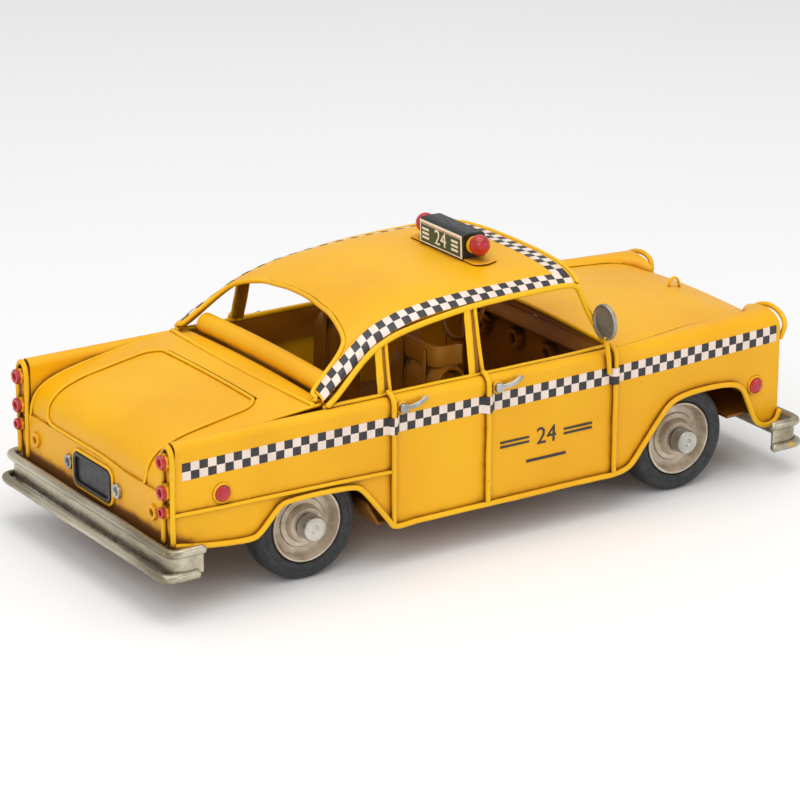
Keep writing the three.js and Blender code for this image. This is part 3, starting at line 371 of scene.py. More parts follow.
def ball(centre, radius, rings=16, segments=32):
    profile = [(radius * math.sin(a) if 0 < a < math.pi else 0, -radius * math.cos(a))
               for a in steps(0, math.pi, rings)]
    return lathe(profile, centre, "y", segments)


SHARP_EDGE = 38  # degrees


def in_scene(name, data):
    """A new object in the scene."""
    obj = bpy.data.objects.new(name, data)
    bpy.context.scene.collection.objects.link(obj)
    return obj


def add(name, p, materials, body=BODY, stands_for=(), slot=None, smooth=SHARP_EDGE, bevel=0.0):
    """Makes a piece from a mesh part, puts it on its body and hides the CAD nodes it stands for."""
    materials = materials if isinstance(materials, list) else [materials]
    verts, faces, slots = p
    mesh = bpy.data.meshes.new(name)
    mesh.from_pydata([v * MM for v in verts], [], faces)
    for m in materials:
        mesh.materials.append(m)
    mesh.polygons.foreach_set("material_index", slots)
    bm = bmesh.new()
    bm.from_mesh(mesh)
    bmesh.ops.recalc_face_normals(bm, faces=bm.faces)
    bm.to_mesh(mesh)
    bm.free()
    mesh.polygons.foreach_set("use_smooth", [True] * len(mesh.polygons))
    mesh.set_sharp_from_angle(angle=math.radians(smooth))
    obj = in_scene(name, mesh)
    if bevel:
        edge = obj.modifiers.new("edge", "BEVEL")
        edge.width = bevel * MM
        edge.segments = 2
        edge.limit_method = "ANGLE"
        edge.angle_limit = math.radians(SHARP_EDGE)
        edge.use_clamp_overlap = True
    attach(obj, body)
    if stands_for:
        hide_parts(*stands_for)


def add_pair(name, p, materials, body=BODY, stands_for=(), **how):
    """The left piece, and its mirror image on the right."""
    for side, shape in (("left", p), ("right", mirrored(p))):
        add(f"{name}_{side}", shape, materials, body, [f"{n}_{side}" for n in stands_for], **how)


# ---- Materials ----
def linear(rgb):
    """An sRGB colour of 0 to 255 as linear numbers."""
    return tuple(((c / 255 + 0.055) / 1.055) ** 2.4 if c > 10 else c / 255 / 12.92 for c in rgb) + (1.0,)


class Finish:
    """A procedural material under construction."""

    def __init__(self, name):
        self.material = bpy.data.materials.new(name)
        self.material.use_nodes = True
        self.tree = self.material.node_tree
        self.shader = self.tree.nodes["Principled BSDF"]
        self.place = self.tree.nodes.new("ShaderNodeTexCoord").outputs["Object"]

    def feed(self, socket, value):
        if isinstance(value, bpy.types.NodeSocket):
            self.tree.links.new(value, socket)
        else:
            socket.default_value = value

    def node(self, kind, values):
        """A new node with these values or links on its inputs."""
        node = self.tree.nodes.new("ShaderNode" + kind)
        for key, value in values.items():
            self.feed(node.inputs[key], value)
        return node

    def noise(self, scale, detail=3.0, roughness=0.5, stretch=None):
        place = self.place
        if stretch:
            place = self.node("Mapping", {"Scale": stretch, "Vector": place}).outputs["Vector"]
        values = {"Scale": scale, "Detail": detail, "Roughness": roughness, "Vector": place}
        return self.node("TexNoise", values).outputs["Fac"]

    def ramp(self, value, low, high, out_low=0.0, out_high=1.0):
        node = self.node("MapRange", {"Value": value, "From Min": low, "From Max": high,
                                      "To Min": out_low, "To Max": out_high})
        node.interpolation_type = "SMOOTHSTEP"
        return node.outputs["Result"]

    def math(self, kind, a, b):
        node = self.node("Math", {0: a, 1: b})
        node.operation = kind
        return node.outputs[0]

    def mix(self, share, a, b):
        node = self.tree.nodes.new("ShaderNodeMix")
        node.data_type = "RGBA"
        for k, value in ((0, share), (6, a), (7, b)):
            self.feed(node.inputs[k], value)
        return node.outputs[2]

    def crease(self, reach):
        """How shut-in a point is, from an ambient occlusion node: 0 in the open, near 1 in a corner; colours
        mixed by it carry painted shade.
        """
        node = self.node("AmbientOcclusion", {"Distance": reach * MM})
        node.samples = 6
        return self.math("SUBTRACT", 1.0, node.outputs["AO"])

    def height(self, axis="Z"):
        return self.node("SeparateXYZ", {0: self.place}).outputs[axis]

    def bump(self, value, strength, distance):
        return self.node("Bump", {"Strength": strength, "Distance": distance * MM,
                                  "Height": value}).outputs["Normal"]

    def end(self, colour, roughness, normal=None, metallic=0.0, **values):
        self.feed(self.shader.inputs["Base Color"], colour)
        self.feed(self.shader.inputs["Roughness"], roughness)
        self.shader.inputs["Metallic"].default_value = metallic
        if normal is not None:
            self.feed(self.shader.inputs["Normal"], normal)
        for name, value in values.items():
            self.shader.inputs[name.replace("_", " ").title().replace("Ior", "IOR")].default_value = value
        return self.material


def enamel(name, light, deep, stain_and_shade_tint, dirt_and_shade, amount=1.0, reach=5.0, rough=0.36, stains_low=False):
    """Aged brushed enamel: cloudy colour, brown patina with painted shade in the creases, small specks,
    uneven gloss.
    """
    f = Finish(name)
    cloud = f.noise(16, 3)
    blotch = f.noise(190, 5, 0.62)
    grain = f.noise(1500, 2)
    colour = f.mix(f.ramp(cloud, 0.34, 0.68), linear(light), linear(deep))
    shut = f.crease(reach)
    patina_and_shade = f.math("ADD", shut, f.math("MULTIPLY", f.math("SUBTRACT", blotch, 0.5), 0.55))
    if stains_low:
        low = f.ramp(f.height(), 0.0345, 0.0245, 0.0, 1.1)
        tail = f.ramp(f.height("X"), -0.128, -0.137, 0.0, 1.0)
        patina_and_shade = f.math("ADD", patina_and_shade, f.math("MULTIPLY", low, tail))
    # Painted shade: the occlusion measure, with the blotches and the low rear stain, turns the colour to
    # patina brown and then dark brown in creases and between parts.
    colour = f.mix(f.ramp(patina_and_shade, 0.16, 0.62, 0.0, 0.8 * amount), colour, linear(stain_and_shade_tint))
    colour = f.mix(f.ramp(patina_and_shade, 0.44, 0.86, 0.0, 0.92 * amount), colour, linear(dirt_and_shade))
    specks = f.ramp(f.noise(420, 2, 0.7), 0.70, 0.76, 0.0, 0.55 * amount)
    colour = f.mix(specks, colour, linear(stain_and_shade_tint))
    gloss = f.ramp(f.math("ADD", blotch, shut), 0.3, 1.2, rough, rough + 0.3)
    relief = f.math("ADD", f.math("MULTIPLY", grain, 0.25), f.math("ADD", f.noise(55, 2), blotch))
    return f.end(colour, gloss, f.bump(relief, 0.35, 0.22), specular_ior_level=0.32)


def metal(name, light, deep, dirt_and_shade, metallic, rough, reach=4.0, flecks=None, streak=None):
    """Dull cast or turned metal with dirt and painted shade darkening its creases, scratches and, on
    request, flecks of paint.
    """
    f = Finish(name)
    cloud = f.noise(70, 4, 0.6, streak)
    fine = f.noise(900, 3, 0.6, streak)
    shut = f.crease(reach)
    colour = f.mix(f.ramp(cloud, 0.3, 0.7), linear(light), linear(deep))
    patina_and_shade = f.math("ADD", shut, f.math("MULTIPLY", f.math("SUBTRACT", f.noise(260, 5, 0.65), 0.5), 0.7))
    # Painted shade: the occlusion measure, with noise, turns the metal to its dark colour in creases and
    # between parts, along with its dirt.
    colour = f.mix(f.ramp(patina_and_shade, 0.18, 0.75, 0.0, 0.9), colour, linear(dirt_and_shade))
    if flecks:
        colour = f.mix(f.ramp(f.noise(130, 4, 0.7), 0.63, 0.69, 0.0, 0.8), colour, linear(flecks))
    gloss = f.ramp(fine, 0.3, 0.7, rough - 0.08, rough + 0.12)
    return f.end(colour, gloss, f.bump(f.math("ADD", fine, cloud), 0.4, 0.12), metallic)


def plain(name, colour, deep, rough, scale=220, depth=0.06, **values):
    """Print, rubber or lacquer: a quiet colour with a fine uneven surface."""
    f = Finish(name)
    tone = f.noise(scale, 4, 0.6)
    tint = f.mix(f.ramp(tone, 0.3, 0.75), linear(colour), linear(deep))
    gloss = f.ramp(f.noise(scale * 2.5, 2), 0.3, 0.7, rough - 0.06, rough + 0.1)
    return f.end(tint, gloss, f.bump(tone, 0.3, depth), **values)


# The third and fourth colours of each enamel are patina brown and dark brown, mixed in by the occlusion
# measure as painted shade in creases.
YELLOW = enamel("yellow_enamel", (243, 180, 8), (234, 168, 4), (176, 98, 10), (64, 32, 10),
                0.9, 4.2, 0.36, True)
TRIM = enamel("yellow_trim", (246, 190, 8), (236, 174, 6), (170, 98, 10), (54, 28, 10), 0.95, 3.2, 0.34)
CABIN = enamel("cabin_enamel", (160, 104, 14), (112, 66, 10), (78, 42, 10), (34, 18, 8), 1.0, 9.0, 0.42)
# The third colour of each metal is its dirt, also mixed in by the occlusion measure as painted shade in
# creases.
PEWTER = metal("aged_pewter", (214, 206, 184), (128, 118, 94), (66, 48, 30), 0.72, 0.32, 4.5,
               (214, 170, 40), (1, 0.15, 1))
RIM = metal("rim_metal", (222, 208, 188), (164, 148, 126), (70, 46, 28), 0.5, 0.42, 5.0)
STEEL = metal("axle_steel", (212, 208, 200), (164, 160, 150), (74, 64, 50), 0.85, 0.36, 3.0)
CHROME = metal("handle_metal", (205, 204, 200), (150, 148, 142), (84, 72, 52), 0.85, 0.3, 1.6)
GLASS_GREY = metal("mirror_metal", (180, 174, 160), (116, 112, 100), (48, 44, 36), 0.7, 0.42, 2.5)
BRASS = metal("gear_brass", (190, 152, 76), (150, 112, 50), (60, 42, 22), 0.9, 0.34, 2.5)
RUBBER = plain("tyre_rubber", (52, 53, 54), (34, 35, 36), 0.62, 300, 0.08)
BLACK = plain("black_enamel", (40, 38, 38), (24, 23, 24), 0.34)
RED = plain("red_enamel", (196, 24, 34), (160, 16, 28), 0.26, 260, 0.05, coat_weight=0.4)
DECAL_LIGHT = plain("decal_light", (240, 222, 208), (228, 208, 192), 0.42, 160, 0.03)
DECAL_DARK = plain("decal_dark", (52, 49, 50), (38, 36, 38), 0.42, 160, 0.03)
SIGN_GREEN = plain("sign_green", (58, 84, 70), (44, 66, 56), 0.4, 260, 0.03)
CREAM = plain("sign_cream", (244, 244, 232), (232, 230, 212), 0.42, 260, 0.03)
CHECKER = [DECAL_LIGHT, DECAL_DARK]


# ---- Side sheets ----
def side_y(x):
    run = max(0.0, (x - DOOR_FRONT_X) / (NOSE_X - DOOR_FRONT_X))
    return SIDE_Y - (SIDE_Y - NOSE_SIDE_Y) * run ** 1.2


def buckle(x, z):
    """The slight unevenness of a hand-cut sheet."""
    return 0.16 * noise.noise(Vector((x * 0.035, 7.3, z * 0.045)))


def arc(cy, cz, ry, rz, start, end, count):
    return [(cy + ry * math.cos(math.radians(w)), cz + rz * math.sin(math.radians(w)))
            for w in steps(start, end, count)]


def wall(x, top, low, count=26):
    return [(x, side_y(x) + buckle(x, z), z) for z in steps(top, low, count)]


deck_line = spline([(x, 0, z) for x, z in DECK_PROFILE], 14)


def deck_height(x):
    """Height of the deck's surface at its outer edge."""
    for a, b in zip(deck_line, deck_line[1:]):
        if x <= b.x and b.x > a.x:
            return a.z + (b.z - a.z) * clamp((x - a.x) / (b.x - a.x))
    return deck_line[-1].z


def quarter_row(x, beside):
    cz = PANEL_TOP_Z - SHOULDER
    if beside:
        top = [(x, y, z) for y, z in arc(SIDE_Y - SHOULDER, cz, SHOULDER, SHOULDER, 90, 0, 8)]
    else:
        low = min(cz - 0.8, deck_height(x) - 1.2)
        top = [(x, SIDE_Y - 2 * SHOULDER, z) for z in steps(low, cz, 3)[:-1]]
        top += [(x, y, z) for y, z in arc(SIDE_Y - SHOULDER, cz, SHOULDER, SHOULDER, 180, 0, 14)]
    return top + wall(x, cz, rear_edge(x))[1:]


def door_row(x):
    cz = BELT_Z - SHOULDER
    top = [(x, y, z) for y, z in arc(SIDE_Y - SHOULDER, cz, SHOULDER, SHOULDER, 90, 0, 8)]
    return top + wall(x, cz, SILL_Z)[1:]


CROWN_FOOT_Z = 57.5  # where the fender's outer face starts to turn inwards


def crown(x):
    """The y and z of the top of the fender's crown."""
    run = (x - DOOR_FRONT_X) / (NOSE_X - DOOR_FRONT_X)
    return side_y(x) - (SHOULDER + 6.5 * run), PANEL_TOP_Z - 0.8 * run


def fender_row(x):
    crown_y, crown_z = crown(x)
    seam_y, foot = hood_half(x) + GAP, seam_z(x) - 0.2
    row = [(x, crown_y - (crown_y - seam_y) * math.sin(math.radians(w)),
            foot + (crown_z - foot) * math.cos(math.radians(w))) for w in steps(90, 0, 8)[:-1]]
    row += [(x, y, z) for y, z in arc(crown_y, CROWN_FOOT_Z, side_y(x) - crown_y,
                                      crown_z - CROWN_FOOT_Z, 90, 0, 10)]
    return row + wall(x, CROWN_FOOT_Z, front_edge(x))[1:]


def side_surface(x, z):
    """The outer face of the side at x and z."""
    y = side_y(x) + buckle(x, z)
    if x > DOOR_FRONT_X and z > CROWN_FOOT_Z:
        crown_y, crown_z = crown(x)
        rise = clamp((z - CROWN_FOOT_Z) / (crown_z - CROWN_FOOT_Z))
        y = crown_y + (side_y(x) - crown_y) * math.sqrt(1 - rise * rise)
    return y


def edged(low, high, spacing, extra):
    """Stations with the table's own corners among them."""
    return sorted(set(stations(low, high, spacing)) | {x for x in extra if low < x < high})


quarter_corners = [x for x, _ in REAR_EDGE]
fender_corners = [x for x, _ in FRONT_EDGE]
quarter = merged(
    shell([quarter_row(x, False) for x in edged(TAIL_X, PILLAR_BASE_X, 1.6, quarter_corners)]),
    shell([quarter_row(x, True) for x in edged(PILLAR_BASE_X, DOOR_REAR_X - GAP / 2, 1.6, quarter_corners)]))
add_pair("rear_quarter_panel", quarter, YELLOW, stands_for=["rear_quarter"])
for name, x0, x1 in (("rear_door", DOOR_REAR_X, DOOR_SPLIT_X), ("front_door", DOOR_SPLIT_X, DOOR_FRONT_X)):
    add_pair(f"{name}_panel", shell([door_row(x) for x in stations(x0 + GAP / 2, x1 - GAP / 2, 2)]),
             YELLOW, stands_for=[name])
add_pair("front_fender_panel",
         shell([fender_row(x) for x in edged(DOOR_FRONT_X + GAP / 2, NOSE_X, 1.6, fender_corners)]),
         YELLOW, stands_for=["front_fender"])

# ---- Side trim wires ----
OFF = GAP + WIRE
FIN_X = TAIL_X - 1.7


def outside(x, z, off=OFF):
    return (x, side_y(x) + off, z)


lower = [(FIN_X + 0.9, SIDE_Y + 1, 27)] + [outside(x, z) for x, z in REAR_EDGE[1:]]
lower += [outside(x, SILL_Z) for x in (-36, -20, DOOR_SPLIT_X, 16, 36, 46)]
lower += [outside(x, z) for x, z in FRONT_EDGE]
add_pair("lower_edge_wire", wire(lower, 1.05), TRIM, stands_for=["side_trim"])


def door_line(x):
    """A wire down a door edge, bent over the shoulder at the top."""
    reach = SHOULDER + OFF
    points = [(x, y, z) for y, z in arc(SIDE_Y - SHOULDER, BELT_Z - SHOULDER, reach, reach, 88, 0, 6)]
    points += [(x + 0.12 * math.sin(z), SIDE_Y + OFF, z) for z in (54, 45, 35, 25, SILL_Z + 0.4)]
    return wire(points, 1.02)


for tag, x in (("rear", DOOR_REAR_X), ("middle", DOOR_SPLIT_X), ("front", DOOR_FRONT_X - GAP)):
    add_pair(f"door_line_{tag}", door_line(x), TRIM)
fin = [(51.2, 27), (51.2, 44), (51.2, 58.5), (52.4, 62.2), (54.4, 63.4), (56.4, 62.2), (57.6, 58.5),
       (57.6, 44), (57.6, 27.4)]
add_pair("fin_wire", wire([(FIN_X, y, z) for y, z in fin], 1.0), TRIM)
add_pair("quarter_line_wire",
         wire([(FIN_X + 0.8, SIDE_Y + 0.9, 38.4), (TAIL_X + 3, SIDE_Y + 0.9, 38.3),
               (-112, SIDE_Y + 0.85, 37.8), (-90, SIDE_Y + 0.9, 37.6), (-66, SIDE_Y + 0.85, 37.1),
               (DOOR_REAR_X - 1, SIDE_Y + 0.9, 36.7)], 0.75), TRIM)
cap = [(51.6, 24), (57.2, 24), (57.2, 58.4), (56.4, 61.4), (54.4, 62.8), (52.4, 61.6), (51.6, 58.4)]
add_pair("fin_cap", prism(cap, "x", TAIL_X - 0.9, TAIL_X - 0.1), YELLOW)

# ---- Tail ----
deck_points = resampled(deck_line, 1.6)
deck_total = len(deck_points) - 1


def deck_at(i, y):
    """A point on the deck, by station along its profile."""
    p = deck_points[i]
    tangent = (deck_points[min(i + 1, deck_total)] - deck_points[max(i - 1, 0)]).normalized()
    rise = DECK_CROWN * (1 - (y / DECK_HALF) ** 2) * min(1.0, 3 * i / deck_total)
    return Vector((p.x - tangent.z * rise, y, p.z + tangent.x * rise + 0.1 * noise.noise(p * 0.04)))


def lid_half(x, extra):
    over = x - (LID_FRONT_X + extra - LID_CORNER)
    if over <= 0:
        return LID_HALF + extra
    corner = LID_CORNER
    return LID_HALF + extra - corner + math.sqrt(max(0.0, corner * corner - min(over, corner) ** 2))


lid_rows = [i for i in range(deck_total + 1) if deck_points[i].x < LID_FRONT_X - 0.4]
lid = shell([[deck_at(i, s * lid_half(deck_points[i].x + 0.4, 0)) for s in steps(-1, 1, 30)]
             for i in lid_rows])
add("trunk_lid_panel", lid, YELLOW, stands_for=["trunk_lid"])

# The wire soldered round the lid's edge, with rounded corners at the rear panel.
lid_side = [(i, lid_half(deck_points[i].x + 0.4, 0.3)) for i in lid_rows if i >= 4]
lid_front = [(lid_rows[-1], y) for y in steps(24, -24, 9)]
lid_ring = lid_side + lid_front + [(i, -y) for i, y in reversed(lid_side)]
ring_points = [deck_at(i, y) + Vector((-0.25, 0, 0.3)) for i, y in lid_ring]
lid_foot = [(-36.7, 44.4), (-35.2, 42.7), (-32.4, 42.2)]
lid_foot += [(y, 44.4 - 2.1 * clamp((-y - 4) / 28) ** 1.2) for y in steps(-29, 31, 12)]
lid_foot += [(34.4, 44.8), (36.5, 46.4)]
ring_points += [Vector((PANEL_X - 0.3, y, z)) for y, z in lid_foot]
add("trunk_lid_wire", tube(resampled(ring_points + ring_points[:1], 1.5)[:-1], 0.75, 10, closed=True), TRIM)

opening_rows = len(lid_rows)
grid = []
for i in range(deck_total + 1):
    edge = lid_half(min(deck_points[i].x + 0.4, LID_FRONT_X), 0.7)
    ys = steps(-DECK_HALF, -edge, 7) + steps(-edge, edge, 30)[1:] + steps(edge, DECK_HALF, 7)[1:]
    grid.append([deck_at(i, y) for y in ys])
add("trunk_deck_panel", shell(grid, SHEET, lambda i, j: i >= opening_rows or not 7 <= j < 37), YELLOW,
    stands_for=["trunk_deck"])
# A dished strip under the lid's edge, so that the groove round it has a bottom.
under = [[deck_at(i, y) + Vector((0, 0, -1.3)) for y in steps(-44, 44, 16)]
         for i in range(3, deck_total - 2, 2)]
add("trunk_inner_panel", shell(under, 0.6), CABIN)

PANEL_HALF, PANEL_LOW, PANEL_HIGH = 50.4, 22.4, 43.85
rows = [[Vector((PANEL_X - 0.25 * noise.noise(Vector((3, y * 0.05, z * 0.07))), y, z))
         for y in steps(PANEL_HALF, -PANEL_HALF, 56)] for z in steps(PANEL_LOW, PANEL_HIGH, 14)]
add("rear_panel_sheet", shell(rows), YELLOW, stands_for=["rear_panel"])
lower = [(PANEL_X - 0.9, y, PANEL_LOW + 0.8) for y in (-50, -30, -10, 10, 30, 50)]
add("rear_panel_lower_wire", wire(lower, 0.9), TRIM)

deck_front = [(-76.3 - 3 * (1 - (y / 50) ** 2), y, 65.6 + 1.1 * (1 - (y / 50) ** 2))
              for y in steps(-50.5, 50.5, 8)]
add("deck_front_wire", wire(deck_front, 1.0), TRIM)
add_pair("deck_seam_wire",
         wire([(-73, 50.6, 65.4), (-88, 50.5, 64.0), (-104, 50.2, 61.7), (-118, 49.8, 59.2),
               (-127, 49.6, 56.9), (-132.4, 49.6, 54.2), (-135.6, 49.6, 51.2), (-137.2, 49.6, 47),
               (-137.6, 49.6, 42)], 0.7), TRIM)

LAMP_Y = 54.4
for z, flats, tag in ((58, 5.5, "top"), (46.7, 5.5, "middle"), (39.3, 4.4, "low")):
    add_pair(f"tail_nut_{tag}", nut((TAIL_X - 1.2, LAMP_Y, z), flats, 2.3, flats * 0.26, 0.2), YELLOW,
             stands_for=["tail_lights"] if tag == "top" else (), slot="yellow_trim")
    add_pair(f"tail_lens_{tag}", nut((TAIL_X - 3.3, LAMP_Y, z), flats - 0.6, 1.7, flats * 0.24, 0.6), RED)

PLATE_LOW, PLATE_HIGH = 28.5, 42.5
back = PANEL_X - GAP
frame_ring = band(rounded(15.4, PLATE_LOW - 1.2, PLATE_HIGH, 4.4),
                  rounded(14, PLATE_LOW, PLATE_HIGH - 1.2, 3), back - 1.6, back)
add("plate_frame_ring", frame_ring, TRIM, stands_for=["plate_frame"], bevel=0.3)
plate_rim = band(rounded(13.9, PLATE_LOW + 0.1, PLATE_HIGH - 1.3, 2.9),
                 rounded(12.4, PLATE_LOW + 1.6, PLATE_HIGH - 2.8, 1.9), back - 2.1, back - 0.9)
add("number_plate_rim", plate_rim, BLACK, bevel=0.3)
plate = prism(rounded(13.7, PLATE_LOW + GAP, PLATE_HIGH - 1.5, 2.7), "x", back - 1.0, back - 0.1)
add("number_plate_sheet", plate, BLACK, stands_for=["number_plate"], bevel=0.2)
for tag, y, z, m, slot in (
        ("a", -18.1, 35.3, CHROME, "aged_pewter"), ("b", 18.1, 35.3, CHROME, "aged_pewter"),
        ("c", -44, 35.7, YELLOW, "yellow_trim"), ("d", 44, 35.7, YELLOW, "yellow_trim")):
    add(f"panel_nut_{tag}", nut((PANEL_X + 0.1, y, z), 5.2, 2.4, 1.45, 0.15 + y * 0.01), m, slot=slot)


# ---- Bumpers ----
def bumper_rail(direction, end_x, half, z):
    side = [(end_x - BUMPER_WRAP, half), (end_x - BUMPER_WRAP / 2, half), (end_x - 3.2, half),
            (end_x - 0.9, half - 0.9), (end_x, half - 3.4), (end_x, half - 12)]
    points = [(direction * x, y, z) for x, y in side]
    points += [(direction * end_x, y, z + 0.15 * math.sin(y)) for y in (30, 10, -10, -30)]
    points += [(direction * x, -y, z) for x, y in reversed(side)]
    return wire(points, BUMPER_RAIL, 1.2, 16, 0.05)


def bumper_web(direction, half, z_high, z_low):
    """The curved plate between the rails."""
    line = [(BUMPER_X - BUMPER_WRAP, half - 0.2), (BUMPER_X - 4, half - 0.2),
            (BUMPER_X - 1.4, half - 1.4), (BUMPER_X - 0.2, half - 4), (BUMPER_X - 0.2, half - 14)]
    points = [(direction * x, y, 0) for x, y in line] + [(direction * x, -y, 0) for x, y in reversed(line)]
    rows = [[Vector((p.x, p.y, z)) for z in steps(z_low, z_high, 5)]
            for p in resampled(spline(points, 6), 1.6)]
    return shell(rows if direction < 0 else rows[::-1], 1.0)


for name, direction, half, (high, low), (high_x, low_x), mount_x, mount_z in (
        ("rear_bumper", -1, 61.6, (25.6, 16.8), (141.6, 144.0), PANEL_X - GAP, 24),
        ("front_bumper", 1, 60, (20.6, 11.5), (140.9, 141.9), NOSE_X - 1, 19.4)):
    add(f"{name}_web", bumper_web(direction, half, high, low), PEWTER, stands_for=[name])
    for tag, z, end_x in (("upper", high, high_x), ("lower", low, low_x)):
        add(f"{name}_{tag}_rail", bumper_rail(direction, end_x, half, z), PEWTER)
        for side, y in (("left", half), ("right", -half)):
            start = direction * (end_x - BUMPER_WRAP)
            tip = prism(arc(0, 0, 1.45, 1.45, 0, 345, 20), "x", -0.25, 0.25)
            add(f"{name}_{tag}_tip_{side}", moved(tip, Matrix.Translation((start, y, z))), TRIM)
    for side, y in (("left", 30), ("right", -30)):
        ends = sorted((direction * (BUMPER_X - 1), mount_x + direction * -1.2))
        add(f"{name}_lug_{side}", block((ends[0], y - 4, mount_z - 0.6), (ends[1], y + 4, mount_z + 0.6)),
            PEWTER, bevel=0.3)

# ---- Roof ----
roof_line = spline([(x, y, z) for x, y, z, _, _ in ROOF], 16)
rise_line = spline([(x, rise, flat) for x, _, _, rise, flat in ROOF], 16)


def roof_at(run, side):
    """A point on the roof: run from the rear pillars to the windshield, side from right to left."""
    k = clamp(run) * (len(roof_line) - 1)
    i = min(int(k), len(roof_line) - 2)
    rail = roof_line[i].lerp(roof_line[i + 1], k - i)
    crown = rise_line[i].lerp(rise_line[i + 1], k - i)
    a = side * math.pi / 2
    level = 1 - abs(math.sin(a)) ** SHOULDER_POWER
    share = (1 - crown.z) * math.cos(a) + crown.z * level
    return Vector((rail.x + FRONT_BOW * run ** 3 * math.cos(a), rail.y * math.sin(a),
                   rail.z + crown.y * share))


window_x = table([(y, x) for x, y in WINDOW_EDGE])


def window_run(side):
    """Where the roof starts behind, at this distance from the middle."""
    for run in steps(0, 1, 400):
        p = roof_at(run, side)
        if p.x >= window_x(abs(p.y)) or abs(p.y) > WINDOW_CORNER_Y:
            return run
    return 1.0


sides = [math.copysign(abs(s) ** 0.8, s) for s in steps(-1, 1, 64)]
starts = [window_run(s) for s in sides]
roof_rows = [[roof_at(start + (1 - start) * t, s) for start, s in zip(starts, sides)]
             for t in steps(0, 1, 72)]
add("roof_sheet", shell(roof_rows), YELLOW, stands_for=["roof"])

header = [roof_at(1, s) + Vector((1.2, 0, -0.5)) for s in steps(-0.9, 0.9, 14)]
add("windshield_header_wire", wire(header, 1.0), TRIM, stands_for=["windshield_header"])
bead = [roof_at(window_run(s), s) + Vector((-0.9, 0, -0.7)) for s in steps(-0.8, 0.8, 34)]
bead = [Vector((-75.1, -48.3, 65.5))] + bead + [Vector((-75.1, 48.3, 65.5))]
add("rear_window_bead", wire(bead, 0.95), TRIM, stands_for=["rear_window_wire"])

pillar = [(42.9, 47.0, 87.4), (47.5, 48.6, 76.5), (53.4, 50.6, 64.6)]
add_pair("roof_rail_wire", wire(RAIL + pillar[:1], 1.1), TRIM, stands_for=["side_frame"])
add_pair("windshield_pillar_wire", wire([(42.3, 46.9, 88.6)] + pillar, 1.15), TRIM)
add_pair("belt_wire", wire([(-72.6, 52.4, 64.6), (-60, 52.4, 64.5), (-40, 52.3, 64.4), (-20, 52.4, 64.5),
                            (10, 52.3, 64.4), (36, 51.9, 64.4), (53.4, 51.2, 64.6)], 1.0), TRIM)


POST_FOOT_Z = 63.4


def post(x_low, x_high, z_high, y_high, half, y_low=52.6):
    """A flat strip from the belt up to the rail, its edges rolled a little."""
    rows = []
    for t in steps(0, 1, 14):
        x = x_low + (x_high - x_low) * t
        y = y_low + (y_high - y_low) * t
        z = POST_FOOT_Z + (z_high - POST_FOOT_Z) * t
        wob = 0.18 * noise.noise(Vector((x, y, z)) * 0.35)
        rows.append([Vector((x + s * (half + wob), y - 0.35 * abs(s) ** 3, z)) for s in steps(-1, 1, 6)])
    return shell(rows[::-1], 0.7)


add_pair("rear_window_post", post(-48.4, -47.2, 81.4, 48.2, 1.1), TRIM)
add_pair("middle_window_post", post(-8.6, -7.8, 88.8, 47.1, 1.1), TRIM)
add_pair("rear_post_wire", wire([(-44.6, 52.6, 64.2), (-44.1, 50, 73), (-43.6, 47.8, 82.8)], 0.8), TRIM)
add_pair("middle_post_wire", wire([(-4, 52.6, 64.2), (-4.2, 49.6, 76), (-4.4, 47.1, 89)], 0.85), TRIM)
# The sheet behind each pair of posts.
add_pair("rear_post_backing", post(-46.4, -45.4, 81.6, 47.4, 1.6, 51.8), CABIN)
add_pair("middle_post_backing", post(-6.2, -6.1, 88.6, 46.4, 1.7, 51.8), CABIN)

SHELF_X, SHELF_Z, SHELF_RADIUS = -65.8, 68.8, 4
shelf = [[Vector((SHELF_X + SHELF_RADIUS * math.cos(w), y,
                  SHELF_Z + SHELF_RADIUS * math.sin(w) + 0.9 * (1 - (y / 45) ** 2)))
          for y in steps(-43, 43, 24)] for w in steps(math.pi * 1.38, -math.pi * 0.22, 20)]
add("parcel_shelf_roll", shell(shelf), YELLOW, stands_for=["parcel_shelf"])

# ---- Nose ----
HOOD_REAR_X = 55.7
hood_rows = []
for x in edged(HOOD_REAR_X, NOSE_X, 1.8, [126, 131, 133.5]):
    half, top, foot = hood_half(x), hood_centre_z(x), seam_z(x)
    hood_rows.append([Vector((x, s * half, top - (top - foot) * s * s + 0.12 * noise.noise(
        Vector((x * 0.03, s * half * 0.03, 2))))) for s in steps(-1, 1, 40)])
add("hood_sheet", shell(hood_rows), YELLOW, stands_for=["hood"])
add("hood_rear_wire", wire([(54.9, y, 66.4 - 1.9 * (y / 50) ** 2) for y in steps(-50, 50, 8)], 0.95), TRIM)
add_pair("hood_seam_wire", wire([(x, hood_half(x) + 0.2, seam_z(x) + 0.25)
                                 for x in (57, 66, 75, 87, 99, 112, 122, 128)], 0.55), TRIM)
ornament = [(121.6, 0, 62.6), (121.8, 0, 64.6), (123, 0, 65.9), (124.8, 0, 65.8), (126.2, 0, 64.2),
            (126.8, 0, 61.8)]
add("hood_ornament_wire", wire(ornament, 0.6, 0.6), TRIM, stands_for=["hood_ornament"])

half_panel = [(28, 55.6), (31, 56.2), (35, 58.6), (40, 60.6), (44.5, 61), (48.2, 59.6), (50.4, 56.5),
              (50.4, 21.5)]
nose_outline = half_panel + [(-y, z) for y, z in reversed(half_panel)]
add("front_panel_sheet", prism(nose_outline[::-1], "x", NOSE_X - 2.3, NOSE_X - 1.3), YELLOW,
    stands_for=["front_panel"], bevel=0.2)

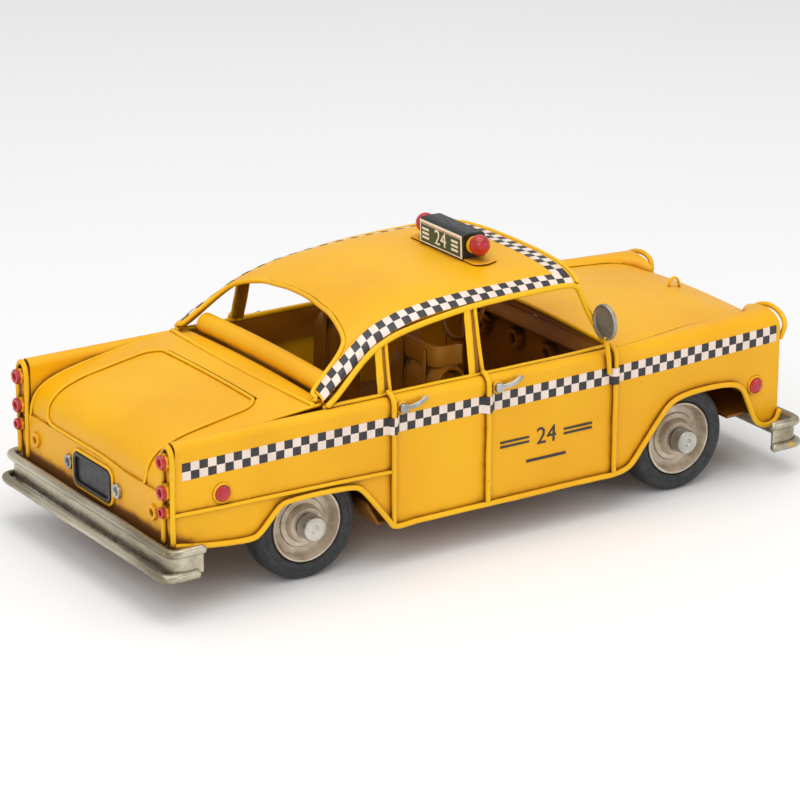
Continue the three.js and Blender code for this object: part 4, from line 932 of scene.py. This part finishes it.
GRILLE_X, GRILLE_LOW, GRILLE_HIGH, GRILLE_HALF = NOSE_X - 1.3, 29, 53, 27
grille = band(rounded(GRILLE_HALF, GRILLE_LOW, GRILLE_HIGH, 3),
              rounded(GRILLE_HALF - 1.6, GRILLE_LOW + 1.6, GRILLE_HIGH - 1.6, 2),
              GRILLE_X + 0.1, GRILLE_X + 2.0)
add("grille_frame", grille, PEWTER, stands_for=["grille"], bevel=0.4)
for k, z in enumerate(steps(GRILLE_LOW, GRILLE_HIGH, 5)[1:-1]):
    bar_line = [(GRILLE_X + 1.0, y, z) for y in (-GRILLE_HALF + 1.2, -9, 9, GRILLE_HALF - 1.2)]
    add(f"grille_bar_{k}", wire(bar_line, 0.7), PEWTER)
for k, y in enumerate(steps(-GRILLE_HALF, GRILLE_HALF, 10)[1:-1]):
    upright = [(GRILLE_X + 0.5, y, z) for z in (GRILLE_LOW + 1.2, 41, GRILLE_HIGH - 1.2)]
    add(f"grille_upright_{k}", wire(upright, 0.5), PEWTER)

lamp = [(0, 0), (8.8, 0), (9.2, 0.5), (9.2, 1.7), (8.9, 2.6), (8.3, 3.0), (7.6, 2.8), (7.3, 2.2)]
glass = [(0, 1.6), (7.3, 1.6), (7.2, 2.3), (6.2, 2.9), (4.4, 3.4), (2.2, 3.7), (0, 3.8)]
headlight = (GRILLE_X + 0.1, 42, 46.5)
add_pair("headlight_rim", lathe(lamp + [(7.2, 1.2), (0, 1.2)], headlight), PEWTER, stands_for=["headlight"])
add_pair("headlight_lens", lathe(glass, headlight), CHROME)
brow = [(1.4, 32.2, 58.6), (2.6, 34.6, 61.4), (3.3, 39, 62.9), (3.4, 43.6, 63), (3.2, 48.8, 61.5),
        (2.6, 52, 58.2), (1.4, 51, 52.8)]
add_pair("headlight_brow_wire", wire([(NOSE_X + x, y, z) for x, y, z in brow], 1.05), TRIM,
         stands_for=["headlight_hood"])

# ---- Small things on the sides ----
MARKER_RIM = [(0, -0.5), (3.9, -0.5), (3.9, 0.5), (3.5, 0.95), (3.0, 0.6), (0, 0.6)]
MARKER_LENS = [(0, 0.2), (3.05, 0.2), (3.05, 0.9), (2.6, 1.3), (1.6, 1.55), (0, 1.65)]
HANDLE_DISC = [(0, -0.3), (2.5, -0.3), (2.5, 0.7), (2.2, 1.0), (0, 1.0)]
HANDLE_STUB = [(0, 0.6), (1.95, 0.6), (1.95, 1.9), (1.7, 2.4), (1.0, 2.5), (0, 2.2)]
for tag, x, z in (("rear", -118, 42.9), ("front", 123.7, 36.4)):
    add_pair(f"marker_rim_{tag}", lathe(MARKER_RIM, outside(x, z, 0), "y"), TRIM)
    add_pair(f"marker_lens_{tag}", lathe(MARKER_LENS, outside(x, z, 0), "y"), RED)
for tag, x in (("rear", -42.5), ("front", -0.6)):
    add_pair(f"handle_disc_{tag}", lathe(HANDLE_DISC, (x, SIDE_Y, 60.2), "y", 32), TRIM)
    stub = lathe(HANDLE_STUB, (x, SIDE_Y, 60.4), "y", 28)
    lever = wire([(x, SIDE_Y + 1.9, 60.5), (x + 3, SIDE_Y + 2.4, 60.8), (x + 6.4, SIDE_Y + 2.3, 61.4),
                  (x + 9.6, SIDE_Y + 1.9, 62.8)], 0.95, 0.7, wander=0.12, flat=0.7)
    add_pair(f"door_handle_{tag}", merged(stub, lever), CHROME)
mirror = [(0, 0), (6.6, 0), (7.0, 0.4), (7.0, 1.3), (6.7, 1.7), (6.2, 1.5), (5.8, 1.15), (0, 1.15)]
add_pair("mirror_disc", lathe([(r, 1.7 - h) for r, h in reversed(mirror)], (47.5, 56.6, 76.4), "x", 56),
         GLASS_GREY, stands_for=["mirror"])
add_pair("mirror_stem", wire([(49.6, 58.4, 56.6), (49.2, 58.4, 61), (48.8, 58.2, 65), (48.4, 57.4, 70.5)],
                             0.95), TRIM)


# ---- Printed stripes ----
def stripe(point, cells, sub, thickness=0.16, across=4):
    """Two rows of checks. point(u, v) gives its face and normal, u in cells along and v in rows across."""
    verts, faces, slots = [], [], []
    n, m = cells * sub + 1, 2 * across + 1
    for depth in (0.0, thickness):
        for i in range(n):
            for j in range(m):
                p, normal = point(i / sub, j / across)
                verts.append(p - normal * depth)
    back = n * m
    for i in range(n - 1):
        for j in range(m - 1):
            a = i * m + j
            slots += [(i // sub + j // across) % 2] * 2
            faces += [(a, a + m, a + m + 1, a + 1), (back + a + 1, back + a + m + 1, back + a + m, back + a)]
    for i in range(n - 1):
        for j in (0, m - 1):
            a = i * m + j
            faces.append((a, a + m, back + a + m, back + a))
            slots.append((i // sub + min(j // across, 1)) % 2)
    for i in (0, n - 1):
        for j in range(m - 1):
            a = i * m + j
            faces.append((a, a + 1, back + a + 1, back + a))
            slots.append(j // across % 2)
    return verts, faces, slots


STRIPE_REAR, STRIPE_FRONT = -134.0, 134.0
STRIPE_LOW = (50.5, 52.4)
STRIPE_HIGH = (56.9, 58.9)
STRIPE_CELLS = 77
WIRE_LINES = (DOOR_REAR_X, DOOR_SPLIT_X, DOOR_FRONT_X - GAP)


def side_stripe(u, v):
    run = u / STRIPE_CELLS
    x = STRIPE_REAR + (STRIPE_FRONT - STRIPE_REAR) * run
    low = STRIPE_LOW[0] + (STRIPE_LOW[1] - STRIPE_LOW[0]) * run
    high = STRIPE_HIGH[0] + (STRIPE_HIGH[1] - STRIPE_HIGH[0]) * run
    z = low + (high - low) * v / 2
    near = min(abs(x - line) for line in WIRE_LINES)
    over = (OFF + 1.05) * clamp(1 - (near / 2.1) ** 2) ** 0.6
    return Vector((x, side_surface(x, z) + 0.1 + over, z)), Vector((0, 1, 0))


add_pair("side_stripe", stripe(side_stripe, STRIPE_CELLS, 6), CHECKER)


def from_rail(run, distance):
    """A point on the roof at this distance up from the left rail."""
    last, gone = roof_at(run, 1.0), 0.0
    for s in steps(1.0, 0.4, 90)[1:]:
        p = roof_at(run, s)
        gone += (p - last).length
        if gone >= distance:
            return p
        last = p
    return last


ROOF_CELL = 3.45
RAIL_EDGE = 0.1
lengths, run_table = [0.0], steps(0.01, 0.992, 300)
for a, b in zip(run_table, run_table[1:]):
    lengths.append(lengths[-1] + (from_rail(b, RAIL_EDGE + ROOF_CELL)
                                  - from_rail(a, RAIL_EDGE + ROOF_CELL)).length)
ROOF_CELLS = round(lengths[-1] / ROOF_CELL)


def run_at(share):
    want = lengths[-1] * share
    for k in range(len(lengths) - 1):
        if lengths[k + 1] >= want:
            return run_table[k] + (run_table[k + 1] - run_table[k]) * (
                want - lengths[k]) / max(lengths[k + 1] - lengths[k], 1e-9)
    return run_table[-1]


def roof_stripe(u, v):
    run = run_at(u / ROOF_CELLS)
    p = from_rail(run, RAIL_EDGE + ROOF_CELL * v)
    a = from_rail(run, RAIL_EDGE + ROOF_CELL * v + 0.4) - p
    b = from_rail(min(run + 0.004, 0.999), RAIL_EDGE + ROOF_CELL * v) - p
    normal = a.cross(b).normalized()
    if normal.z < 0:
        normal = -normal
    return p + normal * 0.12, normal


add_pair("roof_side_stripe", stripe(roof_stripe, ROOF_CELLS, 3), CHECKER)

inner_edge = from_rail(0.985, RAIL_EDGE + 2 * ROOF_CELL)
FRONT_HALF = inner_edge.y
FRONT_CELLS = round(2 * FRONT_HALF / ROOF_CELL)
RUN_PER_MM = 0.01 / (roof_at(1.0, 0) - roof_at(0.99, 0)).length


def front_stripe(u, v):
    y = -FRONT_HALF + 2 * FRONT_HALF * u / FRONT_CELLS
    run = 1 - RUN_PER_MM * (1.0 + ROOF_CELL * (2 - v))
    rail_y = roof_at(run, 1).y
    side = math.asin(clamp(y / rail_y, -1, 1)) * 2 / math.pi
    return roof_at(run, side) + Vector((0, 0, 0.13)), Vector((0, 0, 1))


add("roof_front_stripe", stripe(front_stripe, FRONT_CELLS, 2), CHECKER)


# ---- Lettering: a plain fleet number between bars ----
def flat_text(text, size, depth):
    """The text as a mesh part lying in the XY plane, centred."""
    curve = bpy.data.curves.new("glyphs", "FONT")
    curve.body = text
    curve.size = size
    curve.extrude = depth
    curve.align_x = curve.align_y = "CENTER"
    curve.resolution_u = 6
    holder = in_scene("glyphs", curve)
    mesh = bpy.data.meshes.new_from_object(holder.evaluated_get(bpy.context.evaluated_depsgraph_get()))
    result = part([v.co.copy() for v in mesh.vertices], [list(p.vertices) for p in mesh.polygons])
    bpy.data.objects.remove(holder)
    bpy.data.curves.remove(curve)
    bpy.data.meshes.remove(mesh)
    return result


def bar(x, y, wide, high, depth=0.09):
    return block((x - wide / 2, y - high / 2, -depth), (x + wide / 2, y + high / 2, depth))


NUMBER_X, NUMBER_Z = 22, 37
bars = [bar(x, y, 13, 0.8) for x in (-14.4, 14.4) for y in (0.9, -0.9)]
door_sign = merged(flat_text("24", 9.4, 0.09), *bars, bar(0, -8.6, 18, 1.1))
for side, facing in (("right", -1), ("left", 1)):
    lettering = moved(door_sign, Matrix(((-facing, 0, 0, NUMBER_X), (0, 0, 1, facing * (SIDE_Y + 0.1)),
                                         (0, 1, 0, NUMBER_Z), (0, 0, 0, 1))))
    for v in lettering[0]:
        v.y += math.copysign(buckle(v.x, v.z), v.y)
    add(f"door_number_{side}", lettering, DECAL_DARK, smooth=60)

# ---- Roof sign ----
BASE_Z = 95.4
BOX_HALF = 14.6
base = [(12.8, -21.4), (14.6, -22.8), (18, -23.4), (23.2, -21.6), (23.2, 21.6), (18, 23.4),
        (14.6, 22.8), (12.8, 21.4)]
add("sign_base_plate", prism(base, "z", BASE_Z, BASE_Z + 0.5), YELLOW, stands_for=["sign_base"], bevel=0.15)
profile = [(12.6, BASE_Z + 0.3), (22.7, BASE_Z + 0.3), (22.8, 102.6), (22.6, 104.6), (21.4, 105.5),
           (15.2, 105.7), (12.9, 105.4), (12.3, 104.9)]
# A prism along y takes its outline as (z, x).
add("sign_box_shell", prism([(z, x) for x, z in profile], "y", -BOX_HALF, BOX_HALF), BLACK,
    stands_for=["sign_box"], bevel=0.3)
lean = Matrix.Translation(Vector((12.35, 0, 100.4))) @ Matrix(
    ((0, -0.035, -1, 0), (-1, 0, 0, 0), (0, 1, -0.035, 0), (0, 0, 0, 1)))
for tag, (x0, y0), (x1, y1), top, finish in (
        ("border", (-14.1, -4.5), (14.2, 4.5), 0.12, CREAM),
        ("line", (-13.3, 3.2), (13.2, 3.5), 0.2, RED),
        ("field", (-13.3, -3.9), (13.2, 2.9), 0.24, SIGN_GREEN)):
    add(f"sign_face_{tag}", moved(block((x0, y0, top - 0.12), (x1, y1, top)), lean), finish)
sign_marks = [flat_text("24", 8.2, 0.06)]
for cx in (-10, 9.6):
    sign_marks += [bar(cx, y, 4.4, 0.9, 0.06) for y in (1.7, 0, -1.7)]
add("sign_face_marks", moved(merged(*sign_marks), lean @ Matrix.Translation((0, -0.4, 0.3))), CREAM)
SIGN_LAMP_RADIUS = 3.95
for side, centre in (("left", (17.3, 17.8, 101.4)), ("right", (17, -19.2, 102.0))):
    add(f"sign_lamp_ball_{side}", ball(centre, SIGN_LAMP_RADIUS), RED, stands_for=[f"sign_lamp_{side}"])
cup = [(0, 0), (2.7, 0), (3.3, 0.4), (3.3, 1.2), (2.8, 1.6), (0, 1.6)]
add_pair("sign_lamp_cup", lathe(cup, (17, BOX_HALF, 101.2), "y"), TRIM)

# ---- Cabin ----
dash_line = [(54.6, 63.2), (53.6, 61.0), (52.2, 58.0), (52.4, 57.0), (53.8, 56.4), (56.4, 55.8),
             (57.0, 54.4), (57.0, 48), (57.0, 40), (57.0, 33), (57.0, 26.4)]
dash_rows = [[Vector((p.x, y, p.z)) for y in steps(-49.4, 49.4, 20)] for p in side_curve(dash_line, 1.2)]
add("dashboard_sheet", shell([row[::-1] for row in dash_rows]), CABIN, stands_for=["dashboard"])
for tag, y in (("a", -34), ("b", -11.3), ("c", 11.3), ("d", 34)):
    add(f"dash_nut_{tag}", nut((57.1, y, 50), 8, 3.6, 2.1, 0.3), CABIN)
cowl_line = ((54.2, 63.6), (54.6, 65.2), (55.4, 65.8), (57, 65.6))
cowl = [[Vector((x, y, z - 1.4 * (y / 50) ** 2)) for x, z in cowl_line] for y in steps(-49, 49, 20)]
add("cowl_sheet", shell([row[::-1] for row in cowl]), CABIN)
belt_section = arc(53.8, 62.2, 2.2, 2.2, 90, 180, 5) + [(51.6, 60), (51.6, 56), (51.4, 52)]
belt_rows = [[Vector((x, y, z)) for y, z in belt_section] for x in stations(-69, 53, 3)]
add_pair("inner_belt_band", shell(belt_rows[::-1], 0.6), CABIN)

centre, ring_radius = Vector((41.5, 27, 59.5)), 11.5
tilt = Matrix.Translation(centre) @ Matrix.Rotation(math.radians(-65), 4, "Y")
hoop = [Vector((ring_radius * math.cos(w), ring_radius * math.sin(w), 0))
        for w in steps(0, 2 * math.pi, 60)[:-1]]
wheel = [tube(hoop, 0.9, 10, closed=True)]
for degrees in (90, 210, 330):
    w = math.radians(degrees)
    tip = Vector((math.cos(w), math.sin(w), 0)) * ring_radius
    spoke = [Vector((0, 0, -0.4)), tip * 0.5 + Vector((0, 0, -0.2)), tip]
    wheel.append(tube(resampled(spoke, 1.0), 0.75, 10))
boss = [(0, -1.2), (2.0, -1.2), (2.4, -0.6), (2.4, 0.6), (1.8, 1.1), (0, 1.2)]
wheel.append(lathe(boss, (0, 0, 0), "z", 32))
wheel.append(tube([Vector((0, 0, z)) for z in steps(-15, -0.6, 8)], 1.0, 12))
add("steering_wheel_ring", moved(merged(*wheel), tilt), CABIN, stands_for=["steering_wheel"])

SEAT_SHIFT = -6.5
INNER, OUTER = 10.9, 43.0
strip_wide = (OUTER - INNER) / 3
strip_line = [(-10.9, 26), (-10.6, 40), (-10.3, 54), (-9.6, 61), (-7, 64.6), (-3.6, 65), (-0.6, 63.4),
              (0.6, 60.4)]
for k in range(3):
    rows = []
    for p in side_curve(strip_line, 1.3):
        narrow = 0.5 + 2.6 * clamp((p.z - 58) / 9) ** 2
        low, high = INNER + k * strip_wide + 0.15, INNER + (k + 1) * strip_wide - 0.15
        mid, half = (low + high) / 2, (high - low) / 2
        rows.append([Vector((p.x + SEAT_SHIFT - 0.5 * (1 - s * s), mid + s * (half - narrow * 0.25),
                             p.z - 0.6 * s * s)) for s in steps(-1, 1, 8)])
    shape = shell([row[::-1] for row in rows], 1.0)
    add_pair(f"front_seat_strip_{k}", shape, CABIN, stands_for=["front_seat"] if k == 0 else ())
cushion_rows = []
for x, z in ((-8.5, 31), (-4, 32), (4, 32.4), (12, 32.4), (19, 31.6), (22.6, 29.6), (24, 26), (24, 22)):
    cushion_rows.append([Vector((x + SEAT_SHIFT, y,
                                 z - 0.5 * math.cos((y - INNER) / strip_wide * 2 * math.pi)))
                         for y in steps(INNER, OUTER, 30)])
add_pair("front_seat_cushion", shell(cushion_rows, 1.6), CABIN, smooth=50)
seat_legs = [block((x, INNER + 4, 17.6), (x + 4, OUTER - 4, 29)) for x in (-12, 10)]
add_pair("front_seat_legs", merged(*seat_legs), CABIN, bevel=0.3)
head = spline([(1, 10, 0), (-5, 10, 0), (-8.6, 10.8, 0), (-10, 14, 0), (-10, 23, 0), (-10, 32, 0),
               (-8.6, 35.2, 0), (-5, 36, 0), (1, 36, 0)])
HEADREST_Z, HEADREST_HALF = 69.5, 3.9
head_rows = [[Vector((p.x + SEAT_SHIFT + 0.4 * s * s, p.y + 4,
                      HEADREST_Z + s * (HEADREST_HALF - 0.5 * clamp((p.x + 3) / 4) ** 2)))
              for s in steps(-1, 1, 8)]
             for p in resampled(head, 1.2)]
add_pair("front_seat_headrest", shell(head_rows, 0.9), CABIN)
for k, y in enumerate((19.4, 34.4)):
    upright = [(x + SEAT_SHIFT, y, z) for x, z in ((-11.9, 38), (-11.7, 52), (-11.4, 62), (-11.3, 71))]
    add_pair(f"front_seat_upright_{k}", wire(upright, 1.1, flat=0.6), CABIN)

bench_line = [(-60.6, 22), (-60.6, 40), (-60.2, 56), (-59.4, 60.6), (-57.6, 61.6), (-56, 60), (-55, 52),
              (-53.8, 40), (-53, 35.6), (-50, 34.8), (-40, 34.6), (-30, 34), (-26.4, 32.6), (-25.2, 29),
              (-26, 22)]
BENCH_HALF = 38
bench_rows = [[Vector((p.x, y, p.z - 0.35 * math.cos(y / BENCH_HALF * 3 * math.pi)))
               for y in steps(-BENCH_HALF, BENCH_HALF, 36)] for p in side_curve(bench_line, 1.5)]
add("rear_seat_bench", shell(bench_rows, 1.0), CABIN, stands_for=["rear_seat"], smooth=50)


# ---- Wheels and axles ----
TYRE = [(14.7, 40.6), (15.4, 40), (17.2, 39.8), (19.2, 40.1), (20.5, 41.1), (21.05, 42.6), (21.2, 44.2),
        (20.6, 44.4), (20.6, 44.9), (21.2, 45.1), (21.2, 47.6), (20.6, 47.8), (20.6, 48.3), (21.2, 48.5),
        (21.05, 50.2), (20.5, 51.6), (19.4, 52.5), (18.4, 52.8), (17.6, 52.6), (17.2, 52.9), (16.4, 52.9),
        (15.2, 52.5), (14.7, 51.8)]
RIM_SECTION = [(1.8, 41.2), (3.6, 41.2), (4, 41.6), (4, 46), (14.4, 46), (14.4, 51.9), (14.1, 52.3),
               (13.5, 52.3), (13.1, 51.6), (12.7, 49.4), (12.1, 48.7), (9.6, 48.8), (9.2, 49.3),
               (7.4, 49.5), (7.0, 50.6), (6.7, 52.1), (6.3, 52.5), (1.8, 52.5)]
HUB = [(0, -0.4), (1.5, -0.4), (1.5, 0), (4.4, 0), (4.7, 0.3), (4.7, 4.6), (4.3, 5.3), (1.6, 5.3),
       (1.3, 4.9), (0, 4.8)]
for end, x in (("front", FRONT_AXLE_X), ("rear", REAR_AXLE_X)):
    body = f"{end}_running_gear"
    add_pair(f"tyre_tread_{end}", lathe(TYRE, (x, 0, AXLE_Z), "y", 72), RUBBER, body, [f"tyre_{end}"])
    add_pair(f"wheel_rim_{end}", lathe(RIM_SECTION, (x, 0, AXLE_Z), "y", 64), RIM, body, [f"rim_{end}"])
    add_pair(f"hub_cap_{end}", lathe(HUB, (x, 52.7, AXLE_Z), "y", 40), STEEL, body)
    rod = lathe([(0, -53), (1.5, -53), (1.5, 53), (0, 53)], (x, 0, AXLE_Z), "y", 28)
    add(f"axle_rod_{end}", rod, STEEL, body, [f"{end}_axle"])

# ---- CAD nodes that stay, with their finishes ----
KEPT = {"floor_pan": CABIN, "front_axle_bracket": STEEL, "drive_frame": STEEL, "axle_gear": BRASS,
        "lay_gear": BRASS, "flywheel": STEEL}
for name, m in KEPT.items():
    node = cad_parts[name]
    node.data.materials.clear()
    node.data.materials.append(m)

# ---- Camera, floor and light ----
TARGET = Vector((-18.47, -19.19, 47.3))
AZIMUTH, ELEVATION, ROLL = math.radians(-33.23), math.radians(19.48), math.radians(0.19)
DISTANCE = 1345.72
LENS = 161.86
level = math.cos(ELEVATION)
back_dir = Vector((math.sin(AZIMUTH) * level, -math.cos(AZIMUTH) * level, math.sin(ELEVATION)))
camera_data = bpy.data.cameras.new("camera")
camera_data.lens = LENS
camera_data.sensor_width = 36
camera_data.clip_start = 0.05
camera_data.clip_end = 50
camera = in_scene("camera", camera_data)
camera.location = (TARGET + back_dir * DISTANCE) * MM
right = (-back_dir).cross(Vector((0, 0, 1))).normalized()
up = right.cross(-back_dir)
right, up = (right * math.cos(ROLL) + up * math.sin(ROLL), up * math.cos(ROLL) - right * math.sin(ROLL))
camera.rotation_mode = "QUATERNION"
camera.rotation_quaternion = Matrix((right, up, back_dir)).transposed().to_quaternion()
bpy.context.scene.camera = camera

floor_mesh = bpy.data.meshes.new("floor")
floor_mesh.from_pydata([(-6, -6, 0), (6, -6, 0), (6, 6, 0), (-6, 6, 0)], [], [(0, 1, 2, 3)])
floor = in_scene("floor", floor_mesh)
floor_finish = Finish("floor_white")
floor_mesh.materials.append(floor_finish.end(
    floor_finish.mix(floor_finish.noise(3, 2), (0.93, 0.93, 0.93, 1), (0.9, 0.9, 0.9, 1)), 0.7))

world = bpy.data.worlds.new("studio")
bpy.context.scene.world = world
world.use_nodes = True
sky = world.node_tree.nodes["Background"].inputs
sky["Color"].default_value = (1, 1, 1, 1)
sky["Strength"].default_value = 0.58


def soft_light(name, place, size, power, aim=(0, 0, 0.04)):
    data = bpy.data.lights.new(name, "AREA")
    data.shape = "SQUARE"
    data.size = size
    data.energy = power
    lamp_object = in_scene(name, data)
    lamp_object.location = place
    lamp_object.rotation_mode = "QUATERNION"
    lamp_object.rotation_quaternion = (Vector(aim) - Vector(place)).to_track_quat("-Z", "Y")


soft_light("top", (-0.1, -0.1, 1.3), 1.4, 10.6)
soft_light("key", (-1.2, -1.1, 0.9), 0.9, 6.4)
soft_light("side", (0.9, -1.3, 0.6), 0.8, 2.6)
bpy.context.scene.view_settings.view_transform = "Standard"
